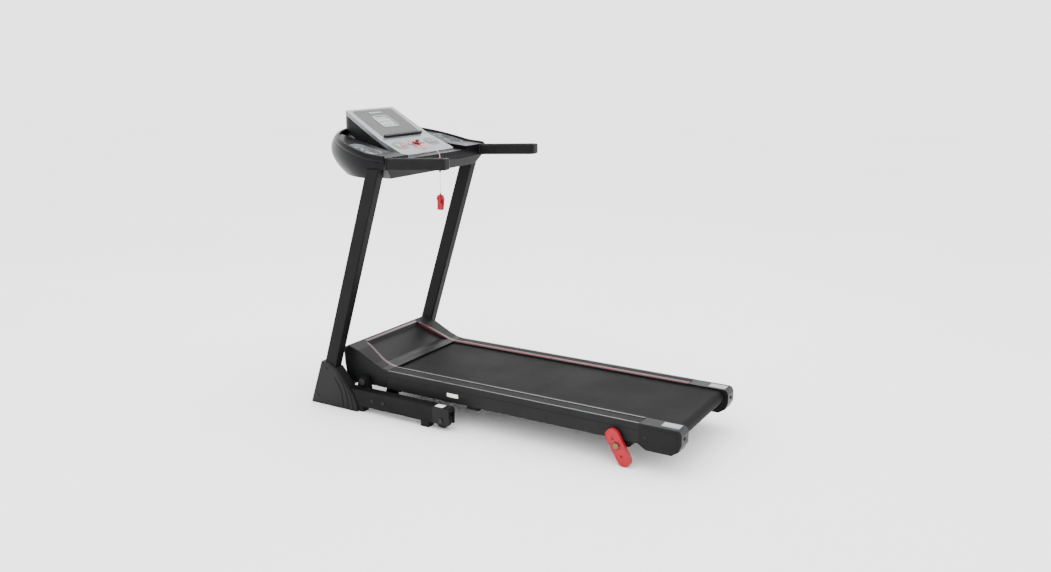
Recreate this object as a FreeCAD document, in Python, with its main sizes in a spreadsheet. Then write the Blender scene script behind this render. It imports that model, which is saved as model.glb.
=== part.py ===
import FreeCAD, Part
import math
import os
import re
import Sketcher
from FreeCAD import Placement, Rotation, Vector

# Folding motorised treadmill. Everything is drawn in "machine" coordinates: X runs back from the
# front tip of the foot covers, Y to the walker's right, Z up from the floor. Each sub-part is then
# shifted by front_x, so that the origin is under the middle of the machine.

DIMENSIONS = {
    # whole machine
    "front_x": -740,
    # base frame
    "base_out": 322, "tube_wide": 40, "rail_low": 23, "rail_high": 86, "rail_front": 36,
    "rail_rear": 578, "fork_rear": 649, "steel_wall": 2.5, "cross_front": 20, "cross_deep": 40,
    "cross_high": 40, "pad_long": 34, "front_pad_x": 70, "middle_pad_x": 236, "rear_pad_x": 540,
    "wheel_x": 615, "wheel_z": 38, "wheel_radius": 30, "wheel_wide": 26, "axle_radius": 5,
    "pin_gap": 0.05, "cheek_thick": 4,
    # uprights, handlebars and foot covers
    "upright_deep": 56, "upright_thick": 39, "upright_lean": 0.3172, "upright_front": 47.6,
    "bar_high": 34, "bar_wide": 32, "bar_front": 296, "bar_rear": 640, "bar_mid_y": 300,
    "bar_mid_z": 946, "bar_datum_x": 384, "bar_rise": 0.0564, "grip_front": 402, "grip_rear": 642,
    "grip_high": 41, "grip_wide": 38, "cap_long": 8, "cover_out": 330, "cover_wall": 3,
    # fold hinge
    "hinge_x": 225, "hinge_z": 105, "hinge_bolt": 8, "hinge_plate_in": 260, "hinge_head": 14,
    # deck
    "tube_out": 250, "tube_in": 225, "tube_low": 89, "tube_high": 129, "deck_front": 150,
    "deck_rear": 1484, "board_low": 133, "board_high": 148, "board_front": 282,
    "board_rear": 1442, "board_half": 246, "belt_half": 190, "belt_thick": 1.8,
    "belt_gap": 0.3, "roller_radius": 21, "front_roller_x": 245, "rear_roller_x": 1468,
    "roller_half": 191, "deck_half": 255.5, "rail_top": 156, "skirt_low": 87,
    "foot_rail_front": 323, "foot_rail_rear": 1357, "foot_rail_in": 188, "cap_rear": 1506,
    "cap_low": 66, "bump_front": 680, "bump_rear": 730, "bump_low": 74,
    # motor, pulleys and drive belt
    "motor_x": 172, "motor_z": 154, "motor_radius": 36, "motor_front_y": -150, "motor_long": 165,
    "shaft_radius": 6, "motor_pulley_radius": 10, "roller_pulley_radius": 27,
    "pulley_y": -200, "pulley_wide": 12, "drive_belt_thick": 2.2, "flywheel_radius": 35,
    # gas strut
    "strut_y": -208, "strut_base_x": 350, "strut_base_z": 74, "strut_deck_x": 650,
    "strut_deck_z": 112, "cylinder_radius": 11, "rod_radius": 5, "cylinder_long": 235,
    "cylinder_start": 16, "eye_radius": 9.5, "eye_wide": 14, "strut_pin": 4, "ear_gap": 12.5,
    # incline feet
    "foot_x": 1288, "foot_z": 71, "foot_in": 257.5, "foot_thick": 17, "foot_end_radius": 25,
    "foot_top_x": 1270.5, "foot_top_z": 100.3, "foot_low_x": 1315.5, "foot_low_z": 25,
    "foot_bolt": 6,
    # dashboard
    "dash_mid_x": 330, "dash_rear": 399, "dash_reach": 356, "dash_half": 325, "dash_wall": 3,
    "dash_floor": 890, "dash_heel": 926, "dash_rim_x": 320, "dash_rim_z": 975, "dash_rim_slope": 0.239,
    "dash_rear_slope": 0.076, "lid_deep": 18, "channel_deep": 14, "channel_half": 186,
    "tray_deep": 12, "tray_wall": 1.5,
    # display and control panel
    "shell_thick": 14, "screen_top_x": 77, "screen_top_z": 1113, "screen_low_x": 244,
    "screen_low_z": 1013, "panel_low_x": 362, "panel_low_z": 962, "head_top_half": 142,
    "head_low_half": 161, "face_half": 119, "face_thick": 3, "window_long": 66,
    "window_half": 43, "button_travel": 1.2,
    # lanyard
    "cord_radius": 1.1,
}

doc = FreeCAD.newDocument("treadmill")
sheet = doc.addObject("Spreadsheet::Sheet", "dim")
for row, (alias, value) in enumerate(DIMENSIONS.items(), start=1):
    sheet.set(f"A{row}", alias)
    sheet.set(f"B{row}", str(value))
    sheet.setAlias(f"B{row}", alias)
doc.recompute()

SIDES = (("left", -1), ("right", 1))
nodes = []


# --- helpers -------------------------------------------------------------------------------------

def expression(text):
    """A sheet expression: every alias gets the sheet's name in front."""
    return re.sub(r"[a-z]+(?:_[a-z]+)+", lambda word: "dim." + word.group(), str(text))


def value(text):
    """The number that an expression of sheet names gives now."""
    return float(sheet.evalExpression(expression(text)))


def bind(item, prop, text):
    item.setExpression(prop, expression(text))


def place(item, x="0", y="0", z="0"):
    for axis, text in (("x", x), ("y", y), ("z", z)):
        bind(item, "Placement.Base." + axis, text)


def node(item, label):
    """Names a finished sub-part and shifts it into the part's own frame."""
    known = dict(item.ExpressionEngine).get(".Placement.Base.x", item.Placement.Base.x)
    item.setExpression("Placement.Base.x", f"dim.front_x + {known}")
    item.Label = label
    nodes.append(item)
    return item


def box(x, y, z, long, wide, high):
    """A block from its lowest corner; every size is a sheet expression."""
    item = doc.addObject("Part::Box", "block")
    bind(item, "Length", long)
    bind(item, "Width", wide)
    bind(item, "Height", high)
    place(item, x, y, z)
    return item


def span(x0, x1, y0, y1, z0, z1):
    """A block between two corners."""
    return box(x0, y0, z0, f"{x1} - ({x0})", f"{y1} - ({y0})", f"{z1} - ({z0})")


def side_span(side, x0, x1, inner, outer, z0, z1):
    """A block on the left (-1) or right (1), between two distances from the middle plane."""
    if side < 0:
        return span(x0, x1, f"-({outer})", f"-({inner})", z0, z1)
    return span(x0, x1, inner, outer, z0, z1)


def rod(x, y, z, radius, long):
    """A round bar along +Y that starts at y."""
    item = doc.addObject("Part::Cylinder", "rod")
    item.Placement = Placement(Vector(), Rotation(Vector(1, 0, 0), -90))
    bind(item, "Radius", radius)
    bind(item, "Height", long)
    place(item, x, y, z)
    return item


def fuse(*items):
    item = doc.addObject("Part::MultiFuse", "joined")
    item.Shapes = list(items)
    item.Refine = True
    return item


def group(*items):
    item = doc.addObject("Part::Compound", "group")
    item.Links = list(items)
    return item


def cut(base, *tools):
    item = doc.addObject("Part::Cut", "cut")
    item.Base = base
    item.Tool = tools[0] if len(tools) == 1 else group(*tools)
    item.Refine = True
    return item


def rounded(item, radius, test):
    """Rounds the straight or curved edges whose middle point and direction pass the test."""
    doc.recompute()
    chosen = []
    for number, edge in enumerate(item.Shape.Edges, start=1):
        middle = edge.valueAt((edge.FirstParameter + edge.LastParameter) / 2)
        along = edge.tangentAt((edge.FirstParameter + edge.LastParameter) / 2)
        if test(middle, along):
            chosen.append((number, radius, radius))
    fillet = doc.addObject("Part::Fillet", "rounded")
    fillet.Base = item
    fillet.Edges = chosen
    return fillet


def hollow_tube(side, x0, x1, inner, outer, z0, z1):
    """A rectangular steel tube along X on one side."""
    wall = "steel_wall"
    whole = side_span(side, x0, x1, inner, outer, z0, z1)
    space = side_span(side, f"{x0} - 1", f"{x1} + 1", f"{inner} + {wall}", f"{outer} - {wall}",
                      f"{z0} + {wall}", f"{z1} - {wall}")
    return cut(whole, space)


def plate(name, outline, thick, start):
    """A PartDesign body: a closed outline in the XZ plane, thickened along +Y from start."""
    body = doc.addObject("PartDesign::Body", name)
    sketch = body.newObject("Sketcher::SketchObject", name + "_outline")
    plane = [item for item in body.Origin.OriginFeatures if item.Role == "XZ_Plane"][0]
    sketch.AttachmentSupport = [(plane, "")]
    sketch.MapMode = "FlatFace"
    corners = [(value(x), value(z)) for x, z in outline]
    count = len(corners)
    for index, (x, z) in enumerate(corners):
        next_x, next_z = corners[(index + 1) % count]
        sketch.addGeometry(Part.LineSegment(Vector(x, z, 0), Vector(next_x, next_z, 0)), False)
    for index in range(count):
        sketch.addConstraint(Sketcher.Constraint("Coincident", index, 2, (index + 1) % count, 1))
    for index, (x, z) in enumerate(outline):
        for kind, text in (("DistanceX", x), ("DistanceY", z)):
            number = sketch.addConstraint(Sketcher.Constraint(kind, -1, 1, index, 1, value(text)))
            bind(sketch, f"Constraints[{number}]", text)
    pad = body.newObject("PartDesign::Pad", name + "_pad")
    pad.Profile = sketch
    pad.Reversed = True
    bind(pad, "Length", thick)
    bind(body, "Placement.Base.y", start)
    return body


def side_plate(name, side, outline, inner, outer):
    """The same plate on the left (-1) or right (1), between two distances from the middle."""
    start = f"-({outer})" if side < 0 else inner
    return plate(name, outline, f"{outer} - ({inner})", start)


def soften(body, radius, test):
    """Rounds the edges of a PartDesign body that pass the test."""
    doc.recompute()
    tip = body.Tip
    names = []
    for number, edge in enumerate(tip.Shape.Edges, start=1):
        middle = edge.valueAt((edge.FirstParameter + edge.LastParameter) / 2)
        along = edge.tangentAt((edge.FirstParameter + edge.LastParameter) / 2)
        if test(middle, along):
            names.append(f"Edge{number}")
    fillet = body.newObject("PartDesign::Fillet", body.Name + "_round")
    fillet.Base = (tip, names)
    fillet.Radius = radius
    return body


def feature(name, shape):
    """A sub-part whose shape is made here, from sizes read from the sheet."""
    item = doc.addObject("Part::Feature", name)
    item.Shape = shape
    return item


# --- base frame: two rails, a front cross tube, pads, wheel forks, wheels ------------------------

def base_frame():
    cross = cut(
        span("cross_front", "cross_front + cross_deep", "-(base_out - tube_wide)",
             "base_out - tube_wide", "rail_low", "rail_low + cross_high"),
        span("cross_front + steel_wall", "cross_front + cross_deep - steel_wall",
             "-(base_out - tube_wide) - 1", "base_out - tube_wide + 1",
             "rail_low + steel_wall", "rail_low + cross_high - steel_wall"))
    node(cross, "base_cross_tube")
    rails = [hollow_tube(side, "rail_front", "rail_rear", "base_out - tube_wide", "base_out",
                         "rail_low", "rail_high") for name, side in SIDES]
    node(group(*rails), "base_rails")
    pads = [side_span(side, f"{pad_x} - pad_long / 2", f"{pad_x} + pad_long / 2",
                      "base_out - tube_wide + 3", "base_out - 3", "0", "rail_low")
            for name, side in SIDES for pad_x in ("front_pad_x", "middle_pad_x", "rear_pad_x")]
    node(group(*pads), "floor_pads")


def transport_wheels():
    forks = []
    axles = []
    inner = "base_out - tube_wide"
    for name, side in SIDES:
        whole = side_plate("fork_" + name, side,
                           [("rail_rear", "rail_low"), ("fork_rear - 4", "rail_low"),
                            ("fork_rear", "rail_low + 4"),
                            ("fork_rear", "rail_high - 6"), ("fork_rear - 8", "rail_high"),
                            ("rail_rear", "rail_high")], inner, "base_out")
        slot = side_span(side, "wheel_x - wheel_radius - 4", "fork_rear + 1",
                         f"{inner} + cheek_thick", "base_out - cheek_thick", "0",
                         "wheel_z + wheel_radius + 3")
        hole = rod("wheel_x", "-base_out - 1" if side < 0 else f"{inner} - 1", "wheel_z",
                   "axle_radius", "tube_wide + 2")
        forks.append(cut(whole, slot, hole))
        middle = f"{side} * (base_out - tube_wide / 2)"
        tyre = rod("wheel_x", f"{middle} - wheel_wide / 2", "wheel_z", "wheel_radius",
                   "wheel_wide")
        tyre = rounded(tyre, 3, lambda at, along: abs(along.y) < 0.5)
        bore = rod("wheel_x", f"{middle} - wheel_wide / 2 - 1", "wheel_z",
                   "axle_radius + pin_gap", "wheel_wide + 2")
        node(cut(tyre, bore), "wheel_" + name)
        axle = rod("wheel_x", f"{middle} - tube_wide / 2", "wheel_z", "axle_radius", "tube_wide")
        head = rod("wheel_x", "-base_out - 4" if side < 0 else "base_out", "wheel_z",
                   "axle_radius + 3.5", "4")
        axles.append(fuse(axle, head))
    node(group(*forks), "wheel_forks")
    node(group(*axles), "wheel_axles")


# --- uprights, foot covers and handlebars --------------------------------------------------------

def bar_height(x, offset):
    """Height of a line along the handlebar, offset up or down from its middle."""
    return f"bar_mid_z + ({x} - bar_datum_x) * bar_rise + {offset}"


def leaning_plate(name, side, inset, reach, inner, outer):
    """A leaning slab from the rail to the handlebar, drawn in by inset, longer by reach."""
    below_bar = "(bar_mid_z - bar_high / 2 - bar_datum_x * bar_rise - rail_high) * upright_lean"
    top_front = f"(upright_front + {inset} + {below_bar}) / (1 - bar_rise * upright_lean)"
    top_rear = f"(upright_front + upright_deep - {inset} + {below_bar}) / (1 - bar_rise * upright_lean)"
    shift = f"{reach} * upright_lean"
    outline = [(f"upright_front + {inset} - {shift}", f"rail_high - {reach}"),
               (f"upright_front + upright_deep - {inset} - {shift}", f"rail_high - {reach}"),
               (f"{top_rear} + {shift}", bar_height(top_rear, f"{reach} - bar_high / 2")),
               (f"{top_front} + {shift}", bar_height(top_front, f"{reach} - bar_high / 2"))]
    return side_plate(name, side, outline, inner, outer)


def uprights():
    inner = "base_out - upright_thick"
    pair = []
    for name, side in SIDES:
        whole = leaning_plate("upright_" + name, side, "0", "0", inner, "base_out")
        whole = soften(whole, 5, lambda at, along: abs(along.z) > 0.9)
        space = leaning_plate("upright_space_" + name, side, "steel_wall * 1.05", "1",
                              f"{inner} + steel_wall", "base_out - steel_wall")
        pair.append(cut(whole, space))
    node(group(*pair), "uprights")


def foot_covers():
    wall = "cover_wall"
    inner = "base_out - tube_wide"
    outer_line = [("0", "0"), ("60", "173"), ("100", "172"), ("131", "154"), ("178", "98"),
                  ("211", "62"), ("229", "22"), ("233", "0.5")]
    inner_line = [(f"{wall} + 1", "-1"), (f"60 + {wall}", f"173 - {wall}"),
                  ("99", f"172 - {wall}"), ("129", f"154 - {wall}"), ("175.6", "95.5"),
                  ("208.2", "60.8"), ("226", "21"), ("230", "-1")]
    pair = []
    for name, side in SIDES:
        whole = side_plate("cover_" + name, side, outer_line, inner, "cover_out")
        # the pad runs along +Y, so the outer face is its start on the left and its end on the right
        far = value("cover_out - base_out + tube_wide") if side > 0 else 0
        whole = soften(whole, 8, lambda at, along: abs(at.y - far) < 0.1 and at.z > 10)
        space = side_plate("cover_space_" + name, side, inner_line, f"{inner} - 1",
                           f"cover_out - {wall}")
        shaft = side_plate("cover_shaft_" + name, side,
                           [("upright_front - 0.5", "rail_high"),
                            ("upright_front + upright_deep + 0.5", "rail_high"),
                            ("upright_front + upright_deep + 0.5 + 120 * upright_lean",
                             "rail_high + 120"),
                            ("upright_front - 0.5 + 120 * upright_lean", "rail_high + 120")],
                           f"{inner} - 1", "base_out + 0.5")
        rail = side_span(side, "150", "260", f"{inner} - 1", "base_out + 0.5",
                         "rail_low - 0.5", "rail_high + 0.5")
        pad = side_span(side, "middle_pad_x - pad_long / 2 - 1", "260", f"{inner} - 1",
                        "base_out", "-1", "rail_low")
        pair.append(cut(whole, space, shaft, rail, pad))
    node(group(*pair), "foot_covers")


def bar_plate(name, side, x0, x1, high, wide, radius):
    """A straight length of the handlebar's section, rounded along it."""
    low = f"(-({high}) / 2)"
    top = f"({high}) / 2"
    outline = [(x0, bar_height(x0, low)), (x1, bar_height(x1, low)),
               (x1, bar_height(x1, top)), (x0, bar_height(x0, top))]
    body = side_plate(name, side, outline, f"bar_mid_y - ({wide}) / 2",
                      f"bar_mid_y + ({wide}) / 2")
    return soften(body, radius, lambda at, along: abs(along.x) > 0.9)


def handlebars():
    bars = []
    grips = []
    caps = []
    for name, side in SIDES:
        bar = bar_plate("bar_" + name, side, "bar_front", "bar_rear", "bar_high", "bar_wide", 7)
        bore = bar_plate("bar_bore_" + name, side, "bar_front - 1", "bar_rear + 1",
                         "bar_high - 2 * steel_wall", "bar_wide - 2 * steel_wall", 4.5)
        bars.append(cut(bar, bore))
        sleeve = bar_plate("sleeve_" + name, side, "grip_front", "grip_rear", "grip_high",
                           "grip_wide", 10)
        core = bar_plate("core_" + name, side, "grip_front - 1", "bar_rear", "bar_high",
                         "bar_wide", 7)
        grips.append(cut(sleeve, core))
        cap_line = [("grip_rear", bar_height("grip_rear", "1 - grip_high / 2")),
                    ("grip_rear + cap_long - 2", bar_height("grip_rear", "3 - grip_high / 2")),
                    ("grip_rear + cap_long", bar_height("grip_rear", "6 - grip_high / 2")),
                    ("grip_rear + cap_long - 3", bar_height("grip_rear", "grip_high / 2 - 4")),
                    ("grip_rear + cap_long - 6", bar_height("grip_rear", "grip_high / 2 - 1")),
                    ("grip_rear", bar_height("grip_rear", "grip_high / 2 - 1"))]
        caps.append(side_plate("grip_cap_" + name, side, cap_line, "bar_mid_y - grip_wide / 2 + 1",
                               "bar_mid_y + grip_wide / 2 - 1"))
    node(group(*bars), "handlebars")
    node(group(*grips), "grips")
    node(group(*caps), "grip_caps")


# --- fold hinge ----------------------------------------------------------------------------------

def fold_hinge():
    bolts = []
    plates = []
    for name, side in SIDES:
        outline = [("hinge_x - 34", "rail_high - 26"), ("hinge_x + 34", "rail_high - 26"),
                   ("hinge_x + 18", "hinge_z + 14"), ("hinge_x + 8", "hinge_z + 20"),
                   ("hinge_x - 8", "hinge_z + 20"), ("hinge_x - 18", "hinge_z + 14")]
        plate_body = side_plate("hinge_plate_" + name, side, outline, "hinge_plate_in",
                                "base_out - tube_wide")
        start = "-base_out + tube_wide - 1" if side < 0 else "hinge_plate_in - 1"
        hole = rod("hinge_x", start, "hinge_z", "hinge_bolt",
                   "base_out - tube_wide - hinge_plate_in + 2")
        plates.append(cut(plate_body, hole))
        low = "tube_in - 2" if side > 0 else "-(base_out - tube_wide)"
        shank = rod("hinge_x", low, "hinge_z", "hinge_bolt",
                    "base_out - tube_wide - tube_in + 2")
        head_low = "base_out - tube_wide" if side > 0 else "-(base_out - tube_wide) - 7"
        head = rod("hinge_x", head_low, "hinge_z", "hinge_head", "7")
        nut_low = "tube_in - 10" if side > 0 else "-tube_in + 2"
        nut = rod("hinge_x", nut_low, "hinge_z", "hinge_bolt + 4", "8")
        bolts.append(fuse(shank, head, nut))
    node(group(*plates), "hinge_plates")
    node(group(*bolts), "fold_pivot_bolts")


# --- deck: steel tubes, board, belt, rails, end caps ---------------------------------------------

def deck_frame():
    tubes = []
    for name, side in SIDES:
        tube = hollow_tube(side, "deck_front", "deck_rear", "tube_in", "tube_out", "tube_low",
                           "tube_high")
        start = "-tube_out - 1" if side < 0 else "tube_in - 1"
        wide = "tube_out - tube_in + 2"
        pivot = rod("hinge_x", start, "hinge_z", "hinge_bolt + pin_gap", wide)
        front_axle = rod("front_roller_x", start, roller_height(), "axle_radius", wide)
        rear_axle = rod("rear_roller_x", start, roller_height(), "axle_radius", wide)
        tubes.append(cut(tube, pivot, front_axle, rear_axle))
    node(group(*tubes), "deck_side_tubes")
    bump = span("bump_front", "bump_rear", "-tube_out", "tube_out", "bump_low", "tube_low")
    ears = []
    for inner in ("strut_y - eye_wide / 2 - 4.5", "strut_y + eye_wide / 2 + 1.5"):
        ears.append(span("strut_deck_x - 10", "bump_front + 10", inner, f"{inner} + 3",
                         "tube_low", "strut_deck_z + 8"))
    crosses = [fuse(bump, *ears)]
    for cross_x in ("1120", "1400"):
        crosses.append(span(cross_x, f"{cross_x} + 30", "-tube_in", "tube_in", "tube_low - 4",
                            "tube_low + 11"))
    node(group(*crosses), "deck_cross_tubes")
    board = span("board_front", "board_rear", "-board_half", "board_half", "board_low",
                 "board_high")
    node(board, "running_board")
    cushions = []
    for cushion_x in (360, 620, 880, 1140, 1380):
        for name, side in SIDES:
            cushions.append(side_span(side, f"{cushion_x}", f"{cushion_x} + 40", "tube_in + 3",
                                      "tube_out - 5", "tube_high", "board_low"))
    node(group(*cushions), "board_cushions")
    node(feature("running_belt", loop_belt(
        (value("front_roller_x"), value(roller_height()), value("roller_radius + belt_gap")),
        (value("rear_roller_x"), value(roller_height()), value("roller_radius + belt_gap")),
        value("belt_thick"), value("-belt_half"), value("2 * belt_half"))), "running_belt")


def roller_height():
    return "(board_high - belt_gap - roller_radius)"


def loop_belt(first, second, thick, start_y, wide):
    """A closed flat belt round two pulleys, each (x, z, radius), as one solid."""
    def outline(extra):
        x0, z0, r0 = first[0], first[1], first[2] + extra
        x1, z1, r1 = second[0], second[1], second[2] + extra
        gap = math.hypot(x1 - x0, z1 - z0)
        heading = math.atan2(z1 - z0, x1 - x0)
        opening = math.acos((r0 - r1) / gap)
        def spot(x, z, radius, angle):
            return Vector(x + radius * math.cos(angle), 0, z + radius * math.sin(angle))
        top0 = spot(x0, z0, r0, heading + opening)
        top1 = spot(x1, z1, r1, heading + opening)
        low0 = spot(x0, z0, r0, heading - opening)
        low1 = spot(x1, z1, r1, heading - opening)
        edges = [Part.LineSegment(top0, top1).toShape(),
                 Part.Arc(top1, spot(x1, z1, r1, heading), low1).toShape(),
                 Part.LineSegment(low1, low0).toShape(),
                 Part.Arc(low0, spot(x0, z0, r0, heading + math.pi), top0).toShape()]
        return Part.Face(Part.Wire(edges))
    ring = outline(thick).cut(outline(0))
    solid = ring.extrude(Vector(0, wide, 0))
    solid.translate(Vector(0, start_y, 0))
    return solid.Solids[0]


def foot_rails():
    rails = []
    for name, side in SIDES:
        top = side_span(side, "foot_rail_front", "foot_rail_rear", "foot_rail_in", "deck_half",
                        "rail_top - 4", "rail_top")
        skirt = side_span(side, "foot_rail_front", "foot_rail_rear", "tube_out + 1",
                          "deck_half", "skirt_low", "rail_top - 1")
        lip = side_span(side, "foot_rail_front", "foot_rail_rear", "foot_rail_in",
                        "foot_rail_in + 3", "rail_top - 5.2", "rail_top - 1")
        rail = fuse(top, skirt, lip)
        edge = value("deck_half") * side
        rail = rounded(rail, 4, lambda at, along: abs(along.x) > 0.9 and abs(at.y - edge) < 0.1
                       and at.z > value("rail_top") - 1)
        rails.append(rail)
    node(group(*rails), "foot_rails")
    node(group(*[end_cap(name, side) for name, side in SIDES]), "end_caps")


def end_cap(name, side):
    outline = [("foot_rail_rear", "skirt_low - 4"), ("foot_rail_rear + 26", "cap_low"),
               ("cap_rear - 34", "cap_low"), ("cap_rear - 10", "cap_low + 16"),
               ("cap_rear", "cap_low + 38"), ("cap_rear", "rail_top - 18"),
               ("cap_rear - 6", "rail_top - 4"), ("cap_rear - 16", "rail_top"),
               ("foot_rail_rear", "rail_top")]
    whole = side_plate("cap_" + name, side, outline, "belt_half + 2", "deck_half")
    far = value("deck_half - belt_half - 2") if side > 0 else 0
    joint_x = value("foot_rail_rear") + 1
    whole = soften(whole, 6, lambda at, along: abs(at.y - far) < 0.1 and at.x > joint_x)
    space = side_span(side, "foot_rail_rear - 1", "cap_rear - 14", "belt_half + 6",
                      "deck_half - 3.5", "tube_low - 5", "rail_top - 5")
    axle_hole = rod("rear_roller_x", "-belt_half - 8" if side < 0 else "belt_half",
                    roller_height(), "axle_radius + 2", "8")
    inner_step = side_span(side, "foot_rail_rear - 1", "board_rear + 1", "belt_half + 1",
                           "belt_half + 7", "tube_low - 5", "rail_top - 5")
    return cut(whole, space, axle_hole, inner_step)


def rollers():
    axles = []
    for name, middle_x in (("front_roller", "front_roller_x"), ("rear_roller", "rear_roller_x")):
        barrel = rod(middle_x, "-roller_half", roller_height(), "roller_radius",
                     "2 * roller_half")
        bore = rod(middle_x, "-roller_half - 30", roller_height(), "axle_radius + pin_gap",
                   "2 * roller_half + 60")
        if name == "front_roller":
            sheave = rod(middle_x, "pulley_y - pulley_wide / 2", roller_height(),
                         "roller_pulley_radius", "pulley_wide")
            hub = rod(middle_x, "pulley_y", roller_height(), "15", "-roller_half - pulley_y + 1")
            node(cut(fuse(barrel, sheave, hub), bore), name)
        else:
            node(cut(barrel, bore), name)
        axles.append(rod(middle_x, "-tube_out", roller_height(), "axle_radius",
                         "2 * tube_out"))
    node(group(*axles), "roller_axles")


# --- motor bay: hood, belly pan, motor, pulleys, drive belt, controller, switch, inlet ------------

HOOD_LINE = [("142", "90"), ("122", "112"), ("114", "160"), ("112", "205"), ("118", "221"),
             ("134", "229"), ("180", "214"), ("262", "174"), ("296", "161"), ("322.5", "157"),
             ("322.5", "88")]
HOOD_SPACE = [("146", "87"), ("125.5", "113"), ("117", "160"), ("115", "205"), ("120.5", "218"),
              ("134.5", "225.5"), ("179", "210.7"), ("260.5", "171"), ("295", "158"),
              ("323.5", "154"), ("323.5", "87")]
WELL_FRONT = 158
WELL_REAR = 262
WELL_HIGH = 206
WELL_LOW = 161.5


def hood_well(grow):
    """The hood's sunken middle: it widens and drops towards the belt, grown by grow."""
    slope = (WELL_HIGH - WELL_LOW) / (WELL_REAR - WELL_FRONT)
    end_x = value("foot_rail_front") + 2
    side = [(WELL_FRONT - 14 - grow, 260), (WELL_FRONT - grow, WELL_HIGH - grow + slope * grow),
            (WELL_REAR, WELL_LOW - grow), (end_x, WELL_LOW - grow), (end_x, 260)]
    front_half = 156 + grow
    rear_half = value("foot_rail_in") + 1 + grow
    plan = [(WELL_FRONT - 40, -front_half), (WELL_REAR, -rear_half), (end_x, -rear_half),
            (end_x, rear_half), (WELL_REAR, rear_half), (WELL_FRONT - 40, front_half)]
    side_face = Part.Face(Part.makePolygon([Vector(x, -220, z) for x, z in side + side[:1]]))
    plan_face = Part.Face(Part.makePolygon([Vector(x, y, 100) for x, y in plan + plan[:1]]))
    return side_face.extrude(Vector(0, 440, 0)).common(plan_face.extrude(Vector(0, 0, 200)))


def motor_bay():
    whole = plate("hood_outside", HOOD_LINE, "2 * deck_half", "-deck_half")
    ends = value("2 * deck_half")
    whole = soften(whole, 7, lambda at, along: (at.y < 0.1 or at.y > ends - 0.1)
                   and at.z > 100 and at.x < 320)
    space = cut(plate("hood_inside", HOOD_SPACE, "2 * (deck_half - 3)", "-deck_half + 3"),
                feature("well_wall", hood_well(3)))
    tools = [space, feature("well", hood_well(0))]
    for name, side in SIDES:
        start = "-deck_half - 1" if side < 0 else "deck_half - 4"
        tools.append(rod("hinge_x", start, "hinge_z", "hinge_bolt + 3", "5"))
    tools.append(span("100", "140", "-172", "-146", "166", "182"))
    tools.append(span("100", "140", "-130", "-98", "162", "186"))
    node(cut(whole, *tools), "motor_hood")
    pan = plate("belly_pan", [("154", "88.5"), ("134", "111"), ("131.5", "109.5"), ("152", "85.5"),
                              ("316", "85.5"), ("316", "88.5")], "2 * tube_in - 2",
                "-tube_in + 1")
    node(pan, "belly_pan")
    can = rod("motor_x", "motor_front_y", "motor_z", "motor_radius", "motor_long")
    nose = rod("motor_x", "motor_front_y - 6", "motor_z", "16", "6")
    foot = span("motor_x - 16", "motor_x + 34", "motor_front_y + 20", "motor_front_y + 130",
                "88.5", "motor_z - motor_radius + 4")
    bore = rod("motor_x", "motor_front_y - 8", "motor_z", "shaft_radius + pin_gap",
               "motor_long + 10")
    node(cut(fuse(can, nose, foot), bore), "drive_motor")
    shaft = rod("motor_x", "pulley_y - 8", "motor_z", "shaft_radius",
                "motor_front_y + motor_long - pulley_y")
    pulley = rod("motor_x", "pulley_y - pulley_wide / 2", "motor_z", "motor_pulley_radius",
                 "pulley_wide")
    flywheel = rod("motor_x", "motor_front_y - 36", "motor_z", "flywheel_radius", "24")
    node(fuse(shaft, pulley, flywheel), "motor_rotor")
    gap = value("belt_gap")
    node(feature("drive_belt", loop_belt(
        (value("motor_x"), value("motor_z"), value("motor_pulley_radius") + gap),
        (value("front_roller_x"), value(roller_height()), value("roller_pulley_radius") + gap),
        value("drive_belt_thick"), value("pulley_y - pulley_wide / 2 + 1"),
        value("pulley_wide - 2"))), "drive_belt")
    box_item = span("157", "214", "60", "190", "88.5", "120")
    fins = [span("160", "210", f"{70 + 12 * index}", f"{73 + 12 * index}", "119", "138")
            for index in range(9)]
    node(fuse(box_item, *fins), "motor_controller")
    node(rocker_switch(), "power_switch")
    inlet = cut(span("111", "134", "-129.5", "-98.5", "162.5", "185.5"),
                span("110", "128", "-126", "-102", "166", "182"))
    blades = [span("127", "133", f"{y} - 1", f"{y} + 1", "171", "177") for y in (-121, -114, -107)]
    node(fuse(inlet, *blades), "power_inlet")


def rocker_switch():
    """The rocker: a block with a shallow V face, on a hinge through its middle."""
    rocker = plate("rocker", [("110.5", "168"), ("112.5", "174"), ("110", "180"), ("122", "180"),
                              ("122", "168")], "22", "-170")
    return fuse(rocker, rod("118", "-171.5", "174", "1.5", "25"))


# --- gas strut -----------------------------------------------------------------------------------

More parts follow.
